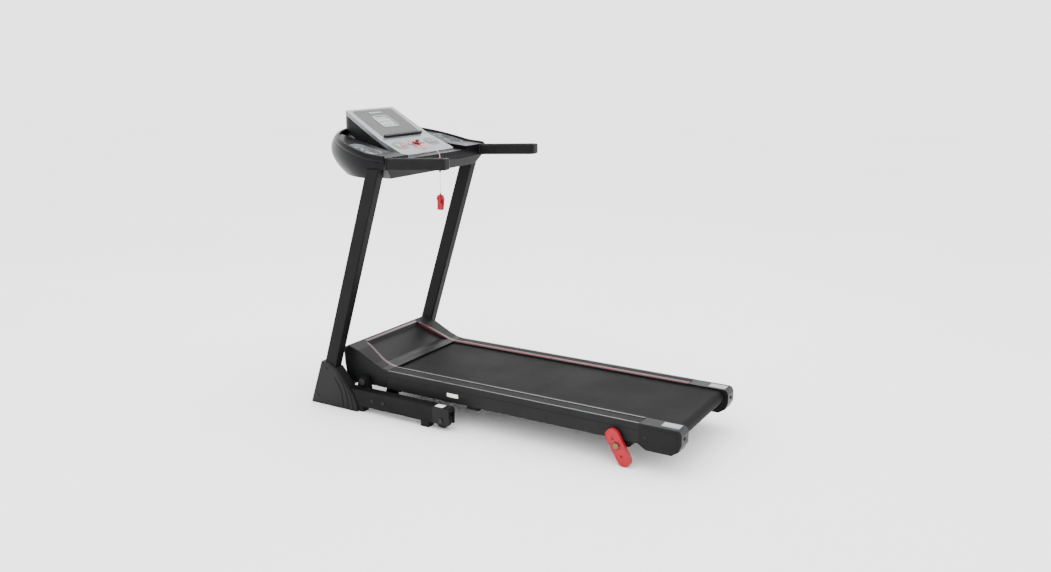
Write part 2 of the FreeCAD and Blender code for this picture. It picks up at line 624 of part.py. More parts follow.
def strut():
    stub = span("strut_base_x - 66", "strut_base_x - 24", "-(base_out - tube_wide)",
                "strut_y + ear_gap + 3", "rail_low + 10", "rail_low + 34")
    ears = []
    for inner in ("strut_y - ear_gap - 3", "strut_y + ear_gap"):
        ears.append(plate("strut_ear", [("strut_base_x - 66", "rail_low + 32"),
                                        ("strut_base_x - 24", "rail_low + 32"),
                                        ("strut_base_x + 26", "strut_base_z + 6"),
                                        ("strut_base_x + 26", "strut_base_z + 10"),
                                        ("strut_base_x - 48", "strut_base_z + 10")], "3", inner))
    hole = rod("strut_base_x", "strut_y - 30", "strut_base_z", "strut_pin", "60")
    lightening = rod("strut_base_x - 30", "strut_y - 30", "strut_base_z - 3", "6", "60")
    node(cut(fuse(stub, *ears), hole, lightening), "strut_base_bracket")
    pin = rod("strut_base_x", "strut_y - ear_gap - 5", "strut_base_z", "strut_pin",
              "2 * ear_gap + 10")
    collars = [rod("strut_base_x", start, "strut_base_z", "strut_pin + 2.5",
                   "ear_gap - eye_wide / 2 - 0.4")
               for start in ("strut_y - ear_gap + 0.1", "strut_y + eye_wide / 2 + 0.3")]
    node(fuse(pin, *collars), "strut_base_pin")
    start = Vector(value("strut_base_x"), value("strut_y"), value("strut_base_z"))
    end = Vector(value("strut_deck_x"), value("strut_y"), value("strut_deck_z"))
    line = (end - start).normalize()
    eye_wide = value("eye_wide")
    eye_radius = value("eye_radius")
    def eye(at, bore):
        ring = Part.makeCylinder(eye_radius, eye_wide, at - Vector(0, eye_wide / 2, 0),
                                 Vector(0, 1, 0))
        return ring if bore is None else ring.cut(
            Part.makeCylinder(bore, eye_wide + 2, at - Vector(0, eye_wide / 2 + 1, 0),
                              Vector(0, 1, 0)))
    first = value("cylinder_start")
    barrel = Part.makeCylinder(value("cylinder_radius"), value("cylinder_long"),
                               start + line * first, line)
    neck = Part.makeCylinder(6, first, start, line)
    hollow = Part.makeCylinder(value("rod_radius + pin_gap"), value("cylinder_long"),
                               start + line * (first + 8), line)
    pin_bore = Part.makeCylinder(value("strut_pin + pin_gap"), eye_wide + 2,
                                 start - Vector(0, eye_wide / 2 + 1, 0), Vector(0, 1, 0))
    cylinder = barrel.fuse([eye(start, None), neck]).cut([hollow, pin_bore]).removeSplitter()
    node(feature("strut_cylinder", cylinder.Solids[0]), "strut_cylinder")
    full = (end - start).Length
    first_rod = first + 12
    piston = Part.makeCylinder(value("rod_radius"), full - first_rod, start + line * first_rod,
                               line)
    collar = Part.makeCylinder(8, 12, start + line * (full - 20), line)
    rod_piece = piston.fuse([collar, eye(end, None)]).removeSplitter()
    node(feature("strut_rod", rod_piece.Solids[0]), "strut_rod")


# --- incline feet --------------------------------------------------------------------------------

def incline_feet():
    brackets = []
    bolts = []
    for name, side in SIDES:
        radius = value("foot_end_radius")
        top = Vector(value("foot_top_x"), 0, value("foot_top_z"))
        low = Vector(value("foot_low_x"), 0, value("foot_low_z"))
        along = (low - top).normalize()
        out = Vector(-along.z, 0, along.x)
        edges = [Part.LineSegment(top + out * radius, low + out * radius).toShape(),
                 Part.Arc(low + out * radius, low + along * radius, low - out * radius).toShape(),
                 Part.LineSegment(low - out * radius, top - out * radius).toShape(),
                 Part.Arc(top - out * radius, top - along * radius, top + out * radius).toShape()]
        thick = value("foot_thick")
        inner = value("foot_in")
        blank = Part.Face(Part.Wire(edges)).extrude(Vector(0, thick, 0))
        blank.translate(Vector(0, -inner - thick if side < 0 else inner, 0))
        blank = blank.makeFillet(2.5, blank.Edges)
        bore = Part.makeCylinder(value("foot_bolt + pin_gap"), 60,
                                 Vector(value("foot_x"), side * 265 - 30, value("foot_z")),
                                 Vector(0, 1, 0))
        face_y = side * (inner + thick)
        dimples = []
        for share in (0.09, 0.83):
            at = top + (low - top) * share
            dimples.append(Part.makeCylinder(5, 8, Vector(at.x, face_y - 4, at.z),
                                             Vector(0, 1, 0)))
        foot = blank.cut([bore] + dimples).Solids[0]
        node(feature("incline_foot_" + name, foot), "incline_foot_" + name)
        bracket = side_plate("foot_bracket_" + name, side,
                             [("foot_x - 34", "tube_low"), ("foot_x - 14", "foot_z - 16"),
                              ("foot_x + 14", "foot_z - 16"), ("foot_x + 22", "foot_z - 8"),
                              ("foot_x + 40", "foot_z - 4"), ("foot_x + 52", "tube_low")],
                             "tube_in + 4", "tube_out")
        start = "-tube_out - 1" if side < 0 else "tube_in"
        hole = rod("foot_x", start, "foot_z", "foot_bolt", "tube_out - tube_in + 1")
        brackets.append(cut(bracket, hole))
        shank_low = "-(foot_in + foot_thick)" if side < 0 else "tube_in + 4"
        shank = rod("foot_x", shank_low, "foot_z", "foot_bolt",
                    "foot_in + foot_thick - tube_in - 4")
        head = doc.addObject("Part::Prism", "hex_head")
        head.Placement = Placement(Vector(), Rotation(Vector(1, 0, 0), -90))
        head.Polygon = 6
        bind(head, "Circumradius", "foot_bolt * 1.9")
        bind(head, "Height", "6")
        place(head, "foot_x", "-(foot_in + foot_thick) - 6" if side < 0
              else "foot_in + foot_thick", "foot_z")
        spacer_low = "-foot_in" if side < 0 else "tube_out"
        spacer = rod("foot_x", spacer_low, "foot_z", "foot_bolt + 5", "foot_in - tube_out")
        bolts.append(fuse(shank, head, spacer))
    node(group(*brackets), "foot_brackets")
    node(group(*bolts), "foot_bolts")


# --- dashboard: bowl, lid with two trays, cross tube ---------------------------------------------

def lid_height(x):
    """Height of the lid's raised sides at a place along the machine."""
    rim = value("dash_rim_x")
    slope = value("dash_rim_slope") if x < rim else value("dash_rear_slope")
    return value("dash_rim_z") + (rim - x) * slope


def lid_block(low_drop, high_drop, half_from, half_to):
    """The slab between two surfaces parallel to the lid, between two distances from the middle."""
    stations = (-60, value("dash_rim_x"), value("dash_rear"))
    upper = [Vector(x, 0, lid_height(x) - high_drop) for x in stations]
    lower = [Vector(x, 0, lid_height(x) - low_drop) for x in reversed(stations)]
    face = Part.Face(Part.makePolygon(upper + lower + [upper[0]]))
    slab = face.extrude(Vector(0, half_to - half_from, 0))
    slab.translate(Vector(0, half_from, 0))
    return slab


def bowl(inset):
    """The lofted half-ellipse bowl, drawn in by inset on every side but the top."""
    reach = value("dash_reach")
    half = value("dash_half")
    floor = value("dash_floor")
    mid_x = value("dash_mid_x")
    rear = value("dash_rear") - inset
    levels = ((0, 0.79, 0.94), (24, 0.88, 0.975), (58, 0.97, 0.995), (88, 1.0, 1.0),
              (120, 0.965, 0.995), (150, 0.87, 0.985), (200, 0.7, 0.95))
    sections = []
    for rise, reach_share, half_share in levels:
        a = reach * reach_share - inset
        b = half * half_share - inset
        z = floor + rise + (inset if rise == 0 else 0)
        middle = Vector(mid_x, 0, z)
        nose = middle - Vector(a, 0, 0)
        if a > b:
            front = Part.Ellipse(nose, middle - Vector(0, b, 0), middle)
            arc = Part.ArcOfEllipse(front, -math.pi / 2, math.pi / 2).toShape()
        else:
            front = Part.Ellipse(middle - Vector(0, b, 0), nose, middle)
            arc = Part.ArcOfEllipse(front, 0, math.pi).toShape()
        first = arc.valueAt(arc.FirstParameter)
        last = arc.valueAt(arc.LastParameter)
        corner_one = Vector(rear, last.y, z)
        corner_two = Vector(rear, first.y, z)
        sections.append(Part.Wire([arc, Part.LineSegment(last, corner_one).toShape(),
                                   Part.LineSegment(corner_one, corner_two).toShape(),
                                   Part.LineSegment(corner_two, first).toShape()]))
    return Part.makeLoft(sections, True, True)


TRAY_LONG = 118
TRAY_WIDE = 64


def tray_block(side, grow, deep, over):
    """An oblong tray, sunk into the lid's raised side."""
    mid_x = 262
    mid_y = side * 258
    half_long = TRAY_LONG / 2 + grow
    half_wide = TRAY_WIDE / 2 + grow
    block = Part.makeBox(2 * half_long, 2 * half_wide, 120,
                         Vector(mid_x - half_long, mid_y - half_wide, 930))
    upright_edges = [edge for edge in block.Edges if abs(edge.tangentAt(0).z) > 0.9]
    block = block.makeFillet(24 + grow, upright_edges)
    return block.common(lid_block(deep, -over, -400, 400))


def dashboard():
    wall = value("dash_wall")
    outside = bowl(0)
    inside = bowl(wall)
    deep = value("lid_deep")
    half = value("channel_half")
    step = value("channel_deep")
    below = lid_block(300, deep, -400, 400)
    openings = []
    for side in (-1, 1):
        y = side * value("bar_mid_y")
        bar = Part.makeBox(175, value("bar_wide") + 1, value("bar_high") + 6,
                           Vector(285, y - value("bar_wide") / 2 - 0.5,
                                  value("bar_mid_z - bar_high / 2") - 5))
        openings.append(bar)
        outer = value("base_out")
        leg = Part.makeBox(160, value("upright_thick") + 1, 90,
                           Vector(285, (outer - value("upright_thick") - 0.5) * side
                                  if side > 0 else -outer - 0.5, 870))
        openings.append(leg)
    heel = value("dash_heel")
    heel_line = [Vector(300, 0, value("dash_floor") - 5), Vector(300, 0, value("dash_floor")),
                 Vector(352, 0, heel), Vector(410, 0, heel), Vector(410, 0, value("dash_floor") - 5)]
    lifted = Part.Face(Part.makePolygon(heel_line + heel_line[:1])).extrude(Vector(0, 800, 0))
    lifted.translate(Vector(0, -400, 0))
    inner_lifted = lifted.translated(Vector(-1.5, 0, wall))
    inside = inside.cut(inner_lifted)
    lower = outside.common(below).cut([inside, lifted] + openings).Solids[0]
    node(feature("dashboard_bowl", lower), "dashboard_bowl")
    sides = [lid_block(deep, 0, half, 400), lid_block(deep, 0, -400, -half)]
    middle = lid_block(deep, step, -half, half)
    lid = middle.fuse(sides).removeSplitter()
    lid = outside.common(lid)
    bar_space = [Part.makeBox(160, value("bar_wide") + 1, 46,
                              Vector(270, side * value("bar_mid_y") - value("bar_wide") / 2 - 0.5,
                                     918)) for side in (-1, 1)]
    trays = [tray_block(side, 0, value("tray_deep"), 5) for side in (-1, 1)]
    lining = 2.5
    hollows = [lid_block(deep + 5, lining, half + lining, 400),
               lid_block(deep + 5, lining, -400, -half - lining)]
    hollow = inside.common(hollows[0].fuse(hollows[1]))
    hollow = hollow.cut([tray_block(side, lining, value("tray_deep") + lining, 5)
                         for side in (-1, 1)])
    lid = lid.cut(bar_space + trays + [hollow]).removeSplitter()
    node(feature("dashboard_lid", lid.Solids[0]), "dashboard_lid")
    liner_wall = value("tray_wall")
    liners = []
    for side in (-1, 1):
        whole = tray_block(side, 0, value("tray_deep"), 0)
        hollow = tray_block(side, -liner_wall, value("tray_deep") - liner_wall, 5)
        liners.append(whole.cut(hollow).Solids[0])
    node(feature("tray_liners", Part.makeCompound(liners)), "tray_liners")
    tube = span("bar_front + 12", "bar_front + 42", "-(bar_mid_y - bar_wide / 2)",
                "bar_mid_y - bar_wide / 2", "bar_mid_z - 14", "bar_mid_z + 8")
    node(tube, "console_cross_tube")


# --- display and control panel -------------------------------------------------------------------

def head_side(*outline):
    """A slab of the display head: a side outline, wide enough for every cut."""
    face = Part.Face(Part.makePolygon([Vector(x, 0, z) for x, z in outline]
                                      + [Vector(outline[0][0], 0, outline[0][1])]))
    slab = face.extrude(Vector(0, 440, 0))
    slab.translate(Vector(0, -220, 0))
    return slab


def head_plan(grow):
    """The head's outline seen from above, widening towards the walker, with rounded corners."""
    top_x = value("screen_top_x") - 30 - grow
    low_x = value("panel_low_x") + grow
    slope = value("(head_low_half - head_top_half) / (panel_low_x - screen_top_x)")
    def half(x):
        return value("head_top_half") + (x - value("screen_top_x")) * slope + grow
    points = [Vector(top_x, -half(top_x), 900), Vector(low_x, -half(low_x), 900),
              Vector(low_x, half(low_x), 900), Vector(top_x, half(top_x), 900)]
    block = Part.Face(Part.makePolygon(points + [points[0]])).extrude(Vector(0, 0, 300))
    front = [edge for edge in block.Edges
             if abs(edge.tangentAt(0).z) > 0.9 and edge.BoundBox.XMax < top_x + 1]
    block = block.makeFillet(max(50 + grow, 4), front)
    rear = [edge for edge in block.Edges
            if edge.BoundBox.XMin > low_x - 1 and abs(edge.tangentAt(edge.FirstParameter).z) > 0.9]
    return block.makeFillet(max(14 + grow, 4), rear)


class Slope:
    """A sloping surface of the head: a start point, the way down it and the way out of it."""

    def __init__(self, start, end):
        self.start = Vector(start[0], 0, start[1])
        self.down = (Vector(end[0], 0, end[1]) - self.start).normalize()
        self.out = Vector(-self.down.z, 0, self.down.x)
        self.length = (Vector(end[0], 0, end[1]) - self.start).Length

    def place(self):
        turn = Rotation(self.down, Vector(0, 1, 0), self.out, "ZXY")
        return Placement(self.start, turn)

    def block(self, down0, down1, y0, y1, low, high, corner=0):
        """A block on the slope: down it, across it and out of it."""
        item = Part.makeBox(down1 - down0, y1 - y0, high - low, Vector(down0, y0, low))
        if corner:
            item = item.makeFillet(corner, [edge for edge in item.Edges
                                            if abs(edge.tangentAt(0).z) > 0.9])
        item.Placement = self.place()
        return item

    def disc(self, down, y, radius, low, high):
        item = Part.makeCylinder(radius, high - low, Vector(down, y, low))
        item.Placement = self.place()
        return item


def display_head():
    top = (value("screen_top_x"), value("screen_top_z"))
    knee = (value("screen_low_x"), value("screen_low_z"))
    low = (value("panel_low_x"), value("panel_low_z"))
    screen = Slope(top, knee)
    panel = Slope(knee, low)
    thick = value("shell_thick")
    back = screen.out * -thick

    def under(x):
        return lid_height(x) - value("channel_deep") + 0.1

    back_top = (top[0] + back.x, top[1] + back.z)
    back_knee = (knee[0] + back.x, knee[1] + back.z)
    rim_x = value("dash_rim_x")
    shell_line = [top, knee, low, (low[0], under(low[0])), (rim_x, under(rim_x)),
                  (back_knee[0], under(back_knee[0])), back_knee, back_top]
    wall = 4
    drop = screen.out * -wall
    inner_line = [(top[0] + drop.x + screen.down.x * wall, top[1] + drop.z + screen.down.z * wall),
                  (knee[0] + drop.x, knee[1] + drop.z), (low[0] - wall, low[1] - wall + 1.7),
                  (low[0] - wall, under(low[0]) - 5), (back_knee[0] - 1, under(back_knee[0]) - 5),
                  (back_knee[0] + drop.x, back_knee[1] + drop.z),
                  (back_top[0] + drop.x + screen.down.x * wall,
                   back_top[1] + drop.z + screen.down.z * wall)]
    shell = head_side(*shell_line).common(head_plan(0))
    space = head_side(*inner_line).common(head_plan(-wall))
    shell = shell.cut(space)
    face_half = value("face_half")
    face_thick = value("face_thick")
    face_cut = screen.block(10, screen.length - 3, -face_half, face_half, -face_thick, 20, 16)
    window_half = value("window_half")
    window_long = value("window_long")
    window_start = 56
    window = (window_start, window_start + window_long, -window_half, window_half)
    module_cut = screen.block(window[0] - 2, window[1] + 2, window[2] - 2, window[3] + 2, -30, 0)
    travel = value("button_travel")
    button_spots = {
        "button_start": (58, -122, -98), "button_stop": (58, -96, -72),
        "button_slower": (58, 72, 96), "button_faster": (58, 98, 122),
    }
    shell = shell.cut([face_cut, module_cut])
    holes = []
    for name, (down, y0, y1) in button_spots.items():
        holes.append(panel.block(down - 13.4, down + 13.4, y0 - 0.4, y1 + 0.4, -12, 5, 10))
    for name, y in (("button_mode", -40), ("button_program", 40)):
        holes.append(panel.disc(58, y, 9.4, -12, 5))
    key_hole = panel.block(52, 66, -14, 14, -9, 5, 3)
    shell = shell.cut(holes + [key_hole]).removeSplitter()
    node(feature("console_shell", shell.Solids[0]), "console_shell")
    for name, (down, y0, y1) in button_spots.items():
        button = panel.block(down - 13, down + 13, y0, y1, -4.5, 2, 9.5)
        node(feature(name, button.makeFillet(0.8, top_edges(button, panel.out))), name)
    for name, y in (("button_mode", -40), ("button_program", 40)):
        button = panel.disc(58, y, 9, -4.5, 2)
        node(feature(name, button.makeFillet(0.8, top_edges(button, panel.out))), name)
    face = screen.block(10.3, screen.length - 3.3, -face_half + 0.3, face_half - 0.3,
                        -face_thick, 0.6, 15.7)
    face = face.cut(screen.block(*window, -10, 10, 4))
    node(feature("display_face", face), "display_face")
    glass = screen.block(window[0] + 0.2, window[1] - 0.2, window[2] + 0.2, window[3] - 0.2,
                         -face_thick, -0.6, 3.8)
    node(feature("lcd_window", glass), "lcd_window")
    ledge = screen.block(screen.length - 14, screen.length - 6, -face_half + 4, face_half - 4,
                         0.6, 9, 2)
    node(feature("tablet_ledge", ledge), "tablet_ledge")
    board = panel.block(34, 84, -128, 128, -14.5, -13)
    pillars = [panel.block(56, 60, y - 2, y + 2, -13, -4.5 - travel - 0.4)
               for y in (-110, -84, -40, 40, 84, 110)]
    board = board.fuse(pillars)
    node(feature("console_circuit_board", board), "console_circuit_board")
    back_line = [back_top, back_knee, (back_knee[0], under(back_knee[0])), (120, under(120)),
                 (62, 1049), (60, 1060)]
    cover = head_side(*back_line).common(head_plan(-3))
    cover_space = head_side((back_top[0] + 4, back_top[1] + 2), (back_knee[0] + 4, back_knee[1] + 2),
                            (back_knee[0] - 8, under(back_knee[0] - 8) + 3.5),
                            (121, under(121) + 3.5), (66.5, 1051), (64, 1060)).common(head_plan(-6))
    node(feature("display_back_cover", cover.cut(cover_space).Solids[0]), "display_back_cover")
    safety_key(panel)


def top_edges(block, out):
    """The edges of a key cap's top face."""
    highest = max(vertex.Point.dot(out) for vertex in block.Vertexes)
    return [edge for edge in block.Edges
            if all(abs(vertex.Point.dot(out) - highest) < 0.01 for vertex in edge.Vertexes)]


# --- safety key, its lanyard and clip ------------------------------------------------------------

def safety_key(panel):
    blade = panel.block(53, 65, -13, 13, -8, 1.5, 2)
    handle = panel.block(48, 70, -17, 17, 1.2, 7, 5)
    tab = panel.block(56, 62, -9, 9, 7, 16, 2)
    stud = panel.block(70, 76, -3, 3, 1.4, 5)
    key = blade.fuse([handle, tab, stud]).removeSplitter()
    node(feature("safety_key", key), "safety_key")
    start = panel.start + panel.down * 76 + panel.out * 3.2
    route = [start, start + panel.down * 20, Vector(374, -1.5, 979), Vector(404.6, 0, 960),
             Vector(405.8, 1, 931), Vector(405, 0.4, 905), Vector(405, 0, 807)]
    node(feature("safety_lanyard", cord_tube(route, value("cord_radius"))), "safety_lanyard")
    last = route[-1]
    body, lever = lanyard_clip(last)
    node(feature("lanyard_clip", body), "lanyard_clip")
    node(feature("clip_lever", lever), "clip_lever")


def lanyard_clip(top):
    """A two-jaw clip under its cord's end: a tapered back jaw and a sprung front lever."""
    outline = [(-5, -6), (-13, -10), (-17, -22), (-12, -64), (12, -64), (17, -22), (13, -10), (5, -6)]
    corners = [top + Vector(-4.5, y, z) for y, z in outline]
    jaw = Part.Face(Part.makePolygon(corners + corners[:1])).extrude(Vector(9, 0, 0))
    jaw = jaw.makeFillet(2, jaw.Edges)
    slot = Part.makeBox(12, 40, 46, top + Vector(0.5, -20, -72))
    groove = Part.makeBox(12, 10.6, 66.5, top + Vector(0.9, -5.3, -72))
    pivot = Part.makeCylinder(1.5 + value("pin_gap"), 40, top + Vector(6.5, -20, -22),
                              Vector(0, 1, 0))
    ears = [Part.makeBox(5, 3, 8, top + Vector(4, y, -26)) for y in (-8, 5)]
    boss = Part.makeCylinder(3, 8, top - Vector(0, 0, 8))
    body = jaw.fuse(boss).cut([slot, groove]).fuse(ears).cut(pivot).removeSplitter().Solids[0]
    lever = Part.makeBox(3, 9.4, 58, top + Vector(5, -4.7, -64))
    paddle = Part.makeBox(3, 22, 26, top + Vector(5, -11, -64))
    lever = lever.fuse(paddle).removeSplitter()
    lever = lever.makeFillet(1.2, [edge for edge in lever.Edges
                                   if edge.BoundBox.XMax > top.x + 7.9])
    pin = Part.makeCylinder(1.5, 16, top + Vector(6.5, -8, -22), Vector(0, 1, 0))
    lever = lever.fuse(pin).removeSplitter().Solids[0]
    for piece in (body, lever):
        piece.rotate(top, Vector(0, 0, 1), -90)
    return body, lever


def cord_tube(route, radius):
    """A round cord: straight runs joined by arcs as large as the two runs allow."""
    edges = []
    here = route[0]
    for before, corner, after in zip(route, route[1:], route[2:]):
        into = (corner - before).normalize()
        away = (after - corner).normalize()
        turn = into.getAngle(away)
        shorter = min((corner - before).Length, (after - corner).Length)
        bend = 0.45 * shorter / math.tan(turn / 2)
        arc_start = corner - into * (bend * math.tan(turn / 2))
        arc_end = corner + away * (bend * math.tan(turn / 2))
        inward = (away - into).normalize()
        middle = corner + inward * (bend / math.cos(turn / 2) - bend)
        edges.append(Part.LineSegment(here, arc_start).toShape())
        edges.append(Part.Arc(arc_start, middle, arc_end).toShape())
        here = arc_end
    edges.append(Part.LineSegment(here, route[-1]).toShape())
    path = Part.Wire(edges)
    heading = (route[1] - route[0]).normalize()
    ring = Part.Wire(Part.makeCircle(radius, route[0], heading))
    tube = path.makePipeShell([ring], True, True)
    expected = math.pi * radius ** 2 * path.Length
    if abs(tube.Volume / expected - 1) > 0.02:
        raise ValueError("the cord's tube does not fill its length")
    return tube


base_frame()
transport_wheels()
uprights()
foot_covers()
handlebars()
fold_hinge()
deck_frame()
foot_rails()
rollers()
motor_bay()
strut()
incline_feet()
dashboard()
display_head()
doc.recompute()

for item in doc.Objects:
    if "Invalid" in item.State or "Error" in item.State:
        raise RuntimeError(item.Name + " did not recompute")
for item in nodes:
    if item.Shape.isNull() or not item.Shape.isValid():
        raise RuntimeError(item.Label + " has no valid shape")
os.makedirs("parts", exist_ok=True)
for item in nodes:
    item.Shape.exportStep("parts/" + item.Label + ".step")
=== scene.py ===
import bpy
import math
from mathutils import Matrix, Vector


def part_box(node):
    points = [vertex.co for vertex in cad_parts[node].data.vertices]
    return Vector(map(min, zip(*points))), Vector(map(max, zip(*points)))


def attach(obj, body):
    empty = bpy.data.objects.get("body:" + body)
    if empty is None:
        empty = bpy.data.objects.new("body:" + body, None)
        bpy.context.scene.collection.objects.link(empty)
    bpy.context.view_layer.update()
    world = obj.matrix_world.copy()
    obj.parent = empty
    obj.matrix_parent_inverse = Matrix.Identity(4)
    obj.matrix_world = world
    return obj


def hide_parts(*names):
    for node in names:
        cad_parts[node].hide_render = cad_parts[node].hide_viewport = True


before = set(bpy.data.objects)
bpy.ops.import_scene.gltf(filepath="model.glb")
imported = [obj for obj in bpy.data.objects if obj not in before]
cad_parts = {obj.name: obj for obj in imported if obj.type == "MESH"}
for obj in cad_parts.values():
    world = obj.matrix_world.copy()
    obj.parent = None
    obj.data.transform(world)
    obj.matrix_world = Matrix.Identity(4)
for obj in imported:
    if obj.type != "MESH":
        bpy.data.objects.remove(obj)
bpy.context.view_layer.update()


# --- camera and studio ---------------------------------------------------------------------------
# A camera at chest height behind the machine's left rear corner, looking slightly down.
# A pale floor, a white surround, a broad light overhead and a soft one from the camera's side.

def linear(colour):
    """An sRGB hex colour as linear red, green, blue and alpha."""
    shares = [int(colour[start:start + 2], 16) / 255 for start in (1, 3, 5)]
    return tuple(share / 12.92 if share <= 0.04045 else ((share + 0.055) / 1.055) ** 2.4
                 for share in shares) + (1,)


def add(finish, kind, settings=(), links=()):
    """Adds a node to a finish. Settings name inputs, properties or a ramp's stops, or number an
    input; links are (socket, own input) pairs."""
    part = finish.node_tree.nodes.new("ShaderNode" + kind)
    for name, setting in dict(settings).items():
        if name == "stops":
            for index, (place, colour) in enumerate(setting):
                stop = part.color_ramp.elements[index] if index < 2 else \
                    part.color_ramp.elements.new(place)
                stop.position = place
                stop.color = linear(colour)
        elif isinstance(name, int) or name in part.inputs:
            part.inputs[name].default_value = setting
        else:
            setattr(part, name, setting)
    for socket, name in links:
        finish.node_tree.links.new(socket, part.inputs[name])
    return part


def new_finish(name, **sockets):
    """A material, with constants on its shader's own sockets."""
    finish = bpy.data.materials.new(name)
    finish.use_nodes = True
    shader = finish.node_tree.nodes["Principled BSDF"]
    for socket, setting in sockets.items():
        shader.inputs[socket.replace("_", " ")].default_value = setting
    return finish


def wired(finish, shade, polish, bump=None):
    """Joins a finish's shade, roughness and bump to its shader."""
    inputs = finish.node_tree.nodes["Principled BSDF"].inputs
    finish.node_tree.links.new(shade.outputs["Color"], inputs["Base Color"])
    finish.node_tree.links.new(polish.outputs["Result"], inputs["Roughness"])
    if bump:
        finish.node_tree.links.new(bump.outputs["Normal"], inputs["Normal"])


def grained(name, dark, light, grain, depth, rough, patch=0.09, **sockets):
    """A finish of two close shades in soft patches, with a fine bump of the grain's size. Grain,
    depth and patch are in metres, and rough is the lowest and highest roughness."""
    finish = new_finish(name, **sockets)
    place = add(finish, "TexCoord").outputs["Object"]
    clouds = add(finish, "TexNoise", {"Scale": 1 / patch, "Detail": 4.0}, [(place, "Vector")])
    shades = add(finish, "ValToRGB", {"stops": [(0.3, dark), (0.7, light)]},
                 [(clouds.outputs["Fac"], "Fac")])
    polish = add(finish, "MapRange", {"From Min": 0.3, "From Max": 0.7, "To Min": rough[0],
                                      "To Max": rough[1]}, [(clouds.outputs["Fac"], "Value")])
    grit = add(finish, "TexNoise", {"Scale": 1 / grain, "Detail": 2.0}, [(place, "Vector")])
    bump = add(finish, "Bump", {"Strength": 0.6, "Distance": depth},
               [(grit.outputs["Fac"], "Height")])
    wired(finish, shades, polish, bump)
    return finish


camera_data = bpy.data.cameras.new("camera")
camera_data.sensor_width = 36
camera_data.lens = 33.32
camera = bpy.data.objects.new("camera", camera_data)
camera.location = (1.8059, -2.9962, 1.3487)
camera.rotation_euler = (math.radians(90 - 13.86), 0, math.radians(30.52))
bpy.context.scene.collection.objects.link(camera)
bpy.context.scene.camera = camera

# studio paper: matt, white, with a faint tooth
paper = grained("studio_paper", "#fbfbfb", "#ffffff", 0.002, 0.0001, (0.85, 0.95), patch=1.5)
bpy.ops.mesh.primitive_plane_add(size=40, location=(0, 0, -0.0006))
floor = bpy.context.object
floor.name = "floor"
floor.data.materials.append(paper)

surround = bpy.data.worlds.new("surround")
bpy.context.scene.world = surround
surround.use_nodes = True
surround.node_tree.nodes["Background"].inputs["Color"].default_value = (1, 1, 1, 1)
surround.node_tree.nodes["Background"].inputs["Strength"].default_value = 2.9


def soft_light(name, place, aim, size, power):
    """A square light of a size in metres and a power in watts, aimed at a place."""
    lamp = bpy.data.lights.new(name, "AREA")
    lamp.shape = "SQUARE"
    lamp.size = size
    lamp.energy = power
    holder = bpy.data.objects.new(name, lamp)
    holder.location = place
    holder.rotation_euler = (Vector(aim) - Vector(place)).to_track_quat("-Z", "Y").to_euler()
    bpy.context.scene.collection.objects.link(holder)


soft_light("overhead", (-0.6, 0.4, 3.2), (0, 0, 0.3), 3.0, 60)
soft_light("beside_camera", (2.6, -2.8, 2.0), (0, 0, 0.5), 1.6, 16)

# --- painted steel frame -------------------------------------------------------------------------
# Welded rectangular steel tube: rails, cross tubes, uprights, brackets and handlebar tubes.
# Shot-blasted, powder coated satin black and baked, which leaves a fine orange-peel skin.

# black polyester powder coat: skin waves about 1.5 mm across, drawn to show, and a specular level
# set low, here and on the other blacks, so that they stay dark under the white surround
powder_coat = grained("black_powder_coat", "#0b0b0c", "#121213", 0.0015, 0.00012, (0.42, 0.54),
                      IOR=1.5, Specular_IOR_Level=0.08)


def dress(finish, *names):
    """Gives CAD nodes their finish."""
    for name in names:
        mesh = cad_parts[name].data
        mesh.materials.clear()
        mesh.materials.append(finish)


dress(powder_coat, "base_cross_tube", "base_rails", "uprights", "handlebars", "hinge_plates",
      "strut_base_bracket", "strut_cylinder", "console_cross_tube", "deck_side_tubes",
      "deck_cross_tubes", "foot_brackets")

# --- bolts, axles and rollers --------------------------------------------------------------------
# Turned steel: the strut's pin, both rollers and their axles, the motor's shaft and its pulley.
# Bright zinc plate over lathe marks; the strut's rod is ground and hard chromed.

# zinc plated steel: bluish grey metal, turning marks round the axle, drawn 6 mm apart to show
zinc_steel = new_finish("zinc_plated_steel", Metallic=1.0)
place = add(zinc_steel, "TexCoord").outputs["Object"]
marks = add(zinc_steel, "TexWave", {"Scale": 55.0, "Distortion": 0.6, "Detail": 3.0,
                                    "bands_direction": "Y"}, [(place, "Vector")])
tone = add(zinc_steel, "ValToRGB", {"stops": [(0.0, "#7d8084"), (1.0, "#a9acb0")]},
           [(marks.outputs["Fac"], "Fac")])
polish = add(zinc_steel, "MapRange", {"To Min": 0.28, "To Max": 0.42},
             [(marks.outputs["Fac"], "Value")])
bump = add(zinc_steel, "Bump", {"Strength": 0.25, "Distance": 0.00008},
           [(marks.outputs["Fac"], "Height")])
wired(zinc_steel, tone, polish, bump)
dress(zinc_steel, "strut_base_pin", "front_roller", "rear_roller", "roller_axles", "motor_rotor")

# hard chrome: near-mirror, with faint long wipe marks
hard_chrome = grained("hard_chrome", "#c2c4c8", "#d2d4d8", 0.004, 0.00002, (0.06, 0.12),
                      patch=0.02, Metallic=1.0)
dress(hard_chrome, "strut_rod")

# --- motor, controller and what the hood hides ---------------------------------------------------
# A permanent-magnet motor with a painted can, a finned controller, the console's circuit board,
# and a fibre running board on rubber cushions under the belt.

# satin black stove enamel on the motor's can: smoother than the frame
motor_enamel = grained("motor_enamel", "#18181a", "#222226", 0.003, 0.00005, (0.3, 0.38),
                       Coat_Weight=0.2)
dress(motor_enamel, "drive_motor")

